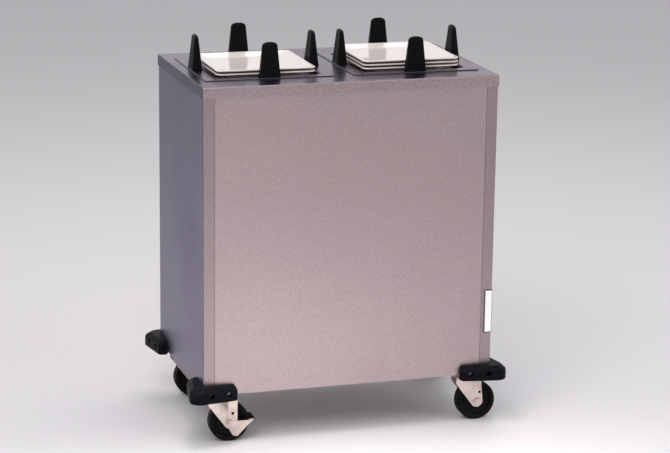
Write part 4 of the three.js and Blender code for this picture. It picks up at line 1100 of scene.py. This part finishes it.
def brake_tread():
    """Foot tread: a rounded bar across the yoke, its top in five low ribs along Y."""
    x, z = TREAD, AXLE_HEIGHT
    t = np.linspace(0, 1, 41)
    top = np.column_stack([x + 11.6 - 11.2 * t, z + 7.6 + 0.4 * np.cos(t * 10 * math.pi)])
    outline = np.concatenate([[(x + 0.2, z + 3), (x + 12, z + 3), (x + 12, z + 7.2)], top,
                              [(x + 0.2, z + 7.2)]])
    return Shell().prism(outline, -24.6, 24.6, 0.8).placed(UPRIGHT)


class AddCasters(bpy.types.Operator):
    """Top plates, forks, axles, wheels and tyres of the four casters"""
    bl_idname = "plate_cart.add_casters"
    bl_label = "Casters"

    def execute(self, context):
        size = sizes()
        edge = size["fork_edge"]
        plate, cup = top_plate(edge), race_cup()
        wheel = {"tyre": (tyre(size["tyre_shoulder"]), "tyre_rubber"),
                 "core": (wheel_core(), "wheel_plastic")}
        for name in CORNERS:
            place = middle(f"caster_plate_{name}")
            braked = name in BRAKED
            swivel = f"swivel_{name}"
            add_piece(f"top_plate_{name}", plate.placed(offset=place), "nickel",
                      f"caster_plate_{name}")
            fork = fork_body(braked, edge)
            fork.transform(Matrix.Translation(Vector(place) * MM))
            add_piece(f"fork_{name}", fork, "nickel", f"caster_fork_{name}", swivel)
            add_piece(f"bearing_cup_{name}", cup.placed(offset=place), "nickel",
                      f"caster_fork_{name}", swivel)
            axle = axle_bolt(24.9 if braked else 21.1)
            add_piece(f"axle_bolt_{name}", axle.placed(offset=place), "nickel",
                      f"caster_axle_{name}", swivel)
            for part, (shell, finish) in wheel.items():
                add_piece(f"{part}_{name}", shell.placed(offset=place), finish,
                          f"wheel_{name}", f"wheel_{name}")
        return {"FINISHED"}


class AddBrakes(bpy.types.Operator):
    """Yokes and foot treads of the two wheel brakes"""
    bl_idname = "plate_cart.add_brakes"
    bl_label = "Wheel brakes"

    def execute(self, context):
        for name in BRAKED:
            place = middle(f"caster_plate_{name}")
            node, body = f"brake_pedal_{name}", f"brake_{name}"
            yoke = brake_yoke(sizes()["fork_edge"])
            yoke.transform(Matrix.Translation(Vector(place) * MM))
            add_piece(f"brake_yoke_{name}", yoke, "nickel", node, body)
            add_piece(f"brake_tread_{name}", brake_tread().placed(offset=place), "wheel_plastic",
                      node, body)
        return {"FINISHED"}


# ===== Dispensers =====

def guide_post():
    """Post beside the right edge of a well at the origin: rounded rectangles that narrow evenly
    up to a shoulder, then close over it as (1 - s^p)^(1/p), s running from 0 to 1."""
    low, high = span("guide_post_right_right")
    foot, cap = 916.6, 13
    shoulder = float(high[2]) - foot - cap
    rise = np.array([0, 0.6, 1.6, 3, 6, 16, 28, 40, 52, 64, shoulder])
    s = np.sin(np.linspace(0, math.pi / 2, 13))[1:]
    broad, thick = (
        np.concatenate([np.interp(rise, [0, 3, shoulder], [base, base - 2, end]),
                        np.maximum(end * (1 - s ** p) ** (1 / p), least)])
        for base, end, p, least in ((53, 39.5, 2.5, 0.4), (28, 11.0, 2.1, 0.3)))
    rise = np.concatenate([rise, shoulder + cap * s])
    radius = np.minimum(4.5, 0.46 * np.minimum(thick, broad))
    outlines = rounded_rectangle(thick / 2, broad / 2, radius, 6)
    outlines[..., 0] += (low[0] + high[0]) / 2 - STACK_X["right"]
    return Shell().stack(outlines, foot + rise)


def post_nuts():
    """The studs of a post at the origin's right, with their nuts under the flange."""
    offset = span("guide_post_right_right")[0][0] + 10.5 - STACK_X["right"]
    stud = Shell().rod(2, 911.0, 917.5, 16).hexagon(4, 914.0, 911.8)
    return Shell().join(*(stud.placed(offset=(offset, y, 0)) for y in (-12, 12)))


class AddPosts(bpy.types.Operator):
    """Black guide posts around the two wells"""
    bl_idname = "plate_cart.add_posts"
    bl_label = "Guide posts"

    def execute(self, context):
        post, nuts = guide_post(), post_nuts()
        for side, x in STACK_X.items():
            for name, quarters in SIDES.items():
                place, own = (turn_z(quarters), (x, 0, 0)), f"{side}_{name}"
                add_piece(f"post_{own}", post.placed(*place), "post_plastic",
                          f"guide_post_{own}")
                add_piece(f"post_nuts_{own}", nuts.placed(*place), "screw_steel",
                          f"guide_post_{own}")
        return {"FINISHED"}


def nylon_bush(node):
    """Flanged bush turned about Z on the box of its node."""
    foot, top = foot_and_top(node)
    bore, tube, collar = 5.3, 8.3, width(node) / 2
    loop = soften([(bore, foot), (tube, foot), (tube, top - 2), (collar, top - 2), (collar, top),
                   (bore, top)], [0.5, 0.2, 0.5, 0.6], 4)
    return Shell().lathe(np.concatenate([loop, loop[:1]]), 40).placed(offset=middle(node))


class AddBushes(bpy.types.Operator):
    """White nylon bushes that run on the guide rods"""
    bl_idname = "plate_cart.add_bushes"
    bl_label = "Guide bushes"

    def execute(self, context):
        for side in STACKS:
            for name in ("left", "right"):
                node = f"bush_{side}_{name}"
                add_piece(f"nylon_{node}", nylon_bush(node), "white_nylon", node,
                          f"carriage_{side}")
        return {"FINISHED"}


def extension_spring(foot, top, wire, turns):
    """A path along Z carried by a wire: a loop in the XZ plane at each end, and between them a
    helix (r cos a, r sin a, z) whose radius grows from the axis over its first half turn."""
    loop, coil_radius = 5.6, 8
    low, high = foot + wire + 2 * loop, top - wire - 2 * loop
    turn = np.radians(np.linspace(150, 450, 28))
    ring = np.column_stack([loop * np.cos(turn), 0 * turn,
                            foot + wire + loop + loop * np.sin(turn)])
    t = np.linspace(0, 1, int(turns) * 14 + 1)[1:-1]
    grow = np.clip(np.minimum(t, 1 - t) * turns * 2, 0, 1)
    radius = (coil_radius - wire) * grow ** 2 * (3 - 2 * grow)
    angle = 2 * math.pi * turns * t
    coil = np.column_stack([radius * np.cos(angle), radius * np.sin(angle),
                            low + (high - low) * t])
    upper = (ring * [1, 1, -1] + [0, 0, foot + top])[::-1]
    return Shell().tube(np.concatenate([ring, coil, upper]), wire, 7)


class AddSprings(bpy.types.Operator):
    """Extension springs, hooked between the lift frames and the carriages"""
    bl_idname = "plate_cart.add_springs"
    bl_label = "Lift springs"

    def execute(self, context):
        size = sizes()
        for side in STACKS:
            for end in ("front", "back"):
                node = f"spring_{side}_{end}"
                foot, top = foot_and_top(node)
                coil = extension_spring(foot, top, size["spring_wire"], size["spring_turns"])
                spring = add_piece(f"coil_{side}_{end}", coil.placed(offset=middle(node)),
                                   "spring_wire", node, None, 60.0)
                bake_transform(spring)
        return {"FINISHED"}


def square_plate(edge):
    """Skin over rounded squares, each an inset from the plate's edge at a height above its foot:
    underside, foot ring, flaring wall, rounded rim, and the well inside."""
    inward, height = soften(
        [(70, 2.4), (51, 2.4), (47.4, 0), (42.6, 0), (39, 4), (9, 13), (0, 14.5), (0, 18),
         (4.5, 18), (31, 9.7), (38, 8.7), (70, 8.7)],
        [1.2, 1.2, 1.2, 3, 5, 1.2, edge * 1.15, 3.0, 5.0, 5.0], 5).T
    half = PLATE_SIDE / 2 - inward
    return Shell().stack(rounded_rectangle(half, half, 14 - 0.1 * inward, 10), height)


class AddPlates(bpy.types.Operator):
    """Ivory plates nested in the two wells"""
    bl_idname = "plate_cart.add_plates"
    bl_label = "Plates"

    def execute(self, context):
        plate = square_plate(sizes()["plate_edge"])
        for side, count in STACKS.items():
            for number in range(1, count + 1):
                node = f"plate_{side}_{number}"
                place = middle(node, foot_and_top(node)[0])
                add_piece(f"square_{node}", plate.placed(offset=place), "glaze",
                          node, node)
        return {"FINISHED"}


# ===== Stage =====

PICTURE_WIDTH, FOCAL_LENGTH = 670, 2306.9  # both in pixels
SENSOR_WIDTH = 36
FLOOR_RADIUS = 60000


def softbox(name, position, target, size, power, spread=180):
    """A square lamp, its sizes in metres, its spread the full angle of its beam in degrees."""
    light = bpy.data.lights.new(name, "AREA")
    light.size = size
    light.energy = power
    light.spread = math.radians(spread)
    lamp = new_object(name, light)
    lamp.location = position
    lamp.rotation_mode = "QUATERNION"
    lamp.rotation_quaternion = (Vector(target) - Vector(position)).to_track_quat("-Z", "Y")


def photograph_camera():
    """The photograph's viewpoint. Yaw turns the view from +Y towards +X, pitch tips it down, and
    roll turns it about its own axis."""
    yaw, pitch, roll = (math.radians(a) for a in (17.26, 14.23, 0.76))
    ahead = Vector((math.sin(yaw) * math.cos(pitch), math.cos(yaw) * math.cos(pitch),
                    -math.sin(pitch)))
    flat = Vector((math.cos(yaw), -math.sin(yaw), 0))
    upper = flat.cross(ahead)
    right = math.cos(roll) * flat + math.sin(roll) * upper
    up = math.cos(roll) * upper - math.sin(roll) * flat
    data = bpy.data.cameras.new("Camera")
    data.lens = FOCAL_LENGTH / PICTURE_WIDTH * SENSOR_WIDTH
    data.sensor_width = SENSOR_WIDTH
    data.clip_start, data.clip_end = 0.1, 200
    camera = new_object("Camera", data)
    camera.matrix_world = Matrix((right, up, -ahead)).transposed().to_4x4()
    camera.location = (-1.6859, -5.5271, 1.9546)
    bpy.context.scene.camera = camera


def pale_floor():
    """A wide disc whose upper face is the floor."""
    mesh = Shell().lathe([(0, 0), (FLOOR_RADIUS, 0)], 96).mesh("floor")
    mesh.flip_normals()
    finish = Finish("Pale floor", Roughness=0.7)
    cloud = finish.noise(finish.place, 0.8, 4.0)
    base = finish.shaded((0.76, 0.735, 0.75), finish.remap(cloud, 0.3, 0.7, 0.985, 1.0))
    finish.drive("Base Color", base)
    mesh.materials.append(finish.material)
    new_object("floor", mesh)


def studio_air():
    """World: pale where the camera, metal and glass look, softer where it lights the object."""
    world = bpy.data.worlds.new("Studio")
    world.use_nodes = True
    wire = Wiring(world.node_tree)
    wire.tree.nodes.clear()
    path = wire.node("LightPath").outputs
    seen = wire.calc("MAXIMUM", path["Is Camera Ray"],
                     wire.calc("MAXIMUM", path["Is Glossy Ray"], path["Is Transmission Ray"]))
    colour = wire.mix((0.50, 0.50, 0.52), (0.86, 0.84, 0.85), seen)
    background = wire.node("Background", Color=colour, Strength=1.0)
    output = wire.tree.nodes.new("ShaderNodeOutputWorld")
    wire.tree.links.new(background.outputs[0], output.inputs["Surface"])
    bpy.context.scene.world = world


class AddStage(bpy.types.Operator):
    """Camera at the photograph's viewpoint, pale floor, soft lamps and studio air"""
    bl_idname = "plate_cart.add_stage"
    bl_label = "Stage"

    def execute(self, context):
        context.scene.view_settings.view_transform = "Standard"
        photograph_camera()
        pale_floor()
        studio_air()
        softbox("Key", (-1.7, -2.5, 3.2), (-0.6, -0.7, 0.0), 2.2, 76)
        softbox("Fill", (4.2, -2.8, 2.6), (0, 0, 0.5), 3.0, 45)
        softbox("Top", (0.5, 1.6, 3.8), (0, 0, 0.9), 2.6, 50)
        softbox("Floor light", (-0.35, -0.7, 1.5), (-0.15, -1.1, 0.0), 0.5, 7, 85)
        return {"FINISHED"}


# ===== Add-on =====

OPERATORS = (AddStage, AddDeck, AddWalls, DressBase, AddLabel, AddBumpers, AddCasters, AddBrakes,
             AddPosts, AddBushes, AddSprings, AddPlates)


class CartPanel(bpy.types.Panel):
    """Lists the cart's sizes, colours and builders."""
    bl_idname = "VIEW3D_PT_plate_cart"
    bl_label = "Plate dispenser cart"
    bl_space_type = "VIEW_3D"
    bl_region_type = "UI"
    bl_category = "Plate cart"

    def draw(self, context):
        for owner in (context.scene.cart_sizes, context.scene.cart_colours):
            box = self.layout.box()
            for label in type(owner).__annotations__:
                box.prop(owner, label)
        for operator in OPERATORS:
            self.layout.operator(operator.bl_idname)


CLASSES = (CartSizes, CartColours, *OPERATORS, CartPanel)


def register():
    for cls in CLASSES:
        bpy.utils.register_class(cls)
    bpy.types.Scene.cart_sizes = PointerProperty(type=CartSizes)
    bpy.types.Scene.cart_colours = PointerProperty(type=CartColours)


def unregister():
    del bpy.types.Scene.cart_colours
    del bpy.types.Scene.cart_sizes
    for cls in reversed(CLASSES):
        bpy.utils.unregister_class(cls)


def main():
    register()
    bpy.ops.plate_cart.add_stage()
    bpy.ops.plate_cart.add_deck()
    bpy.ops.plate_cart.add_walls()
    bpy.ops.plate_cart.dress_base()
    bpy.ops.plate_cart.add_label()
    bpy.ops.plate_cart.add_bumpers()
    bpy.ops.plate_cart.add_casters()
    bpy.ops.plate_cart.add_brakes()
    bpy.ops.plate_cart.add_posts()
    bpy.ops.plate_cart.add_bushes()
    bpy.ops.plate_cart.add_springs()
    bpy.ops.plate_cart.add_plates()


if __name__ == "__main__":
    main()
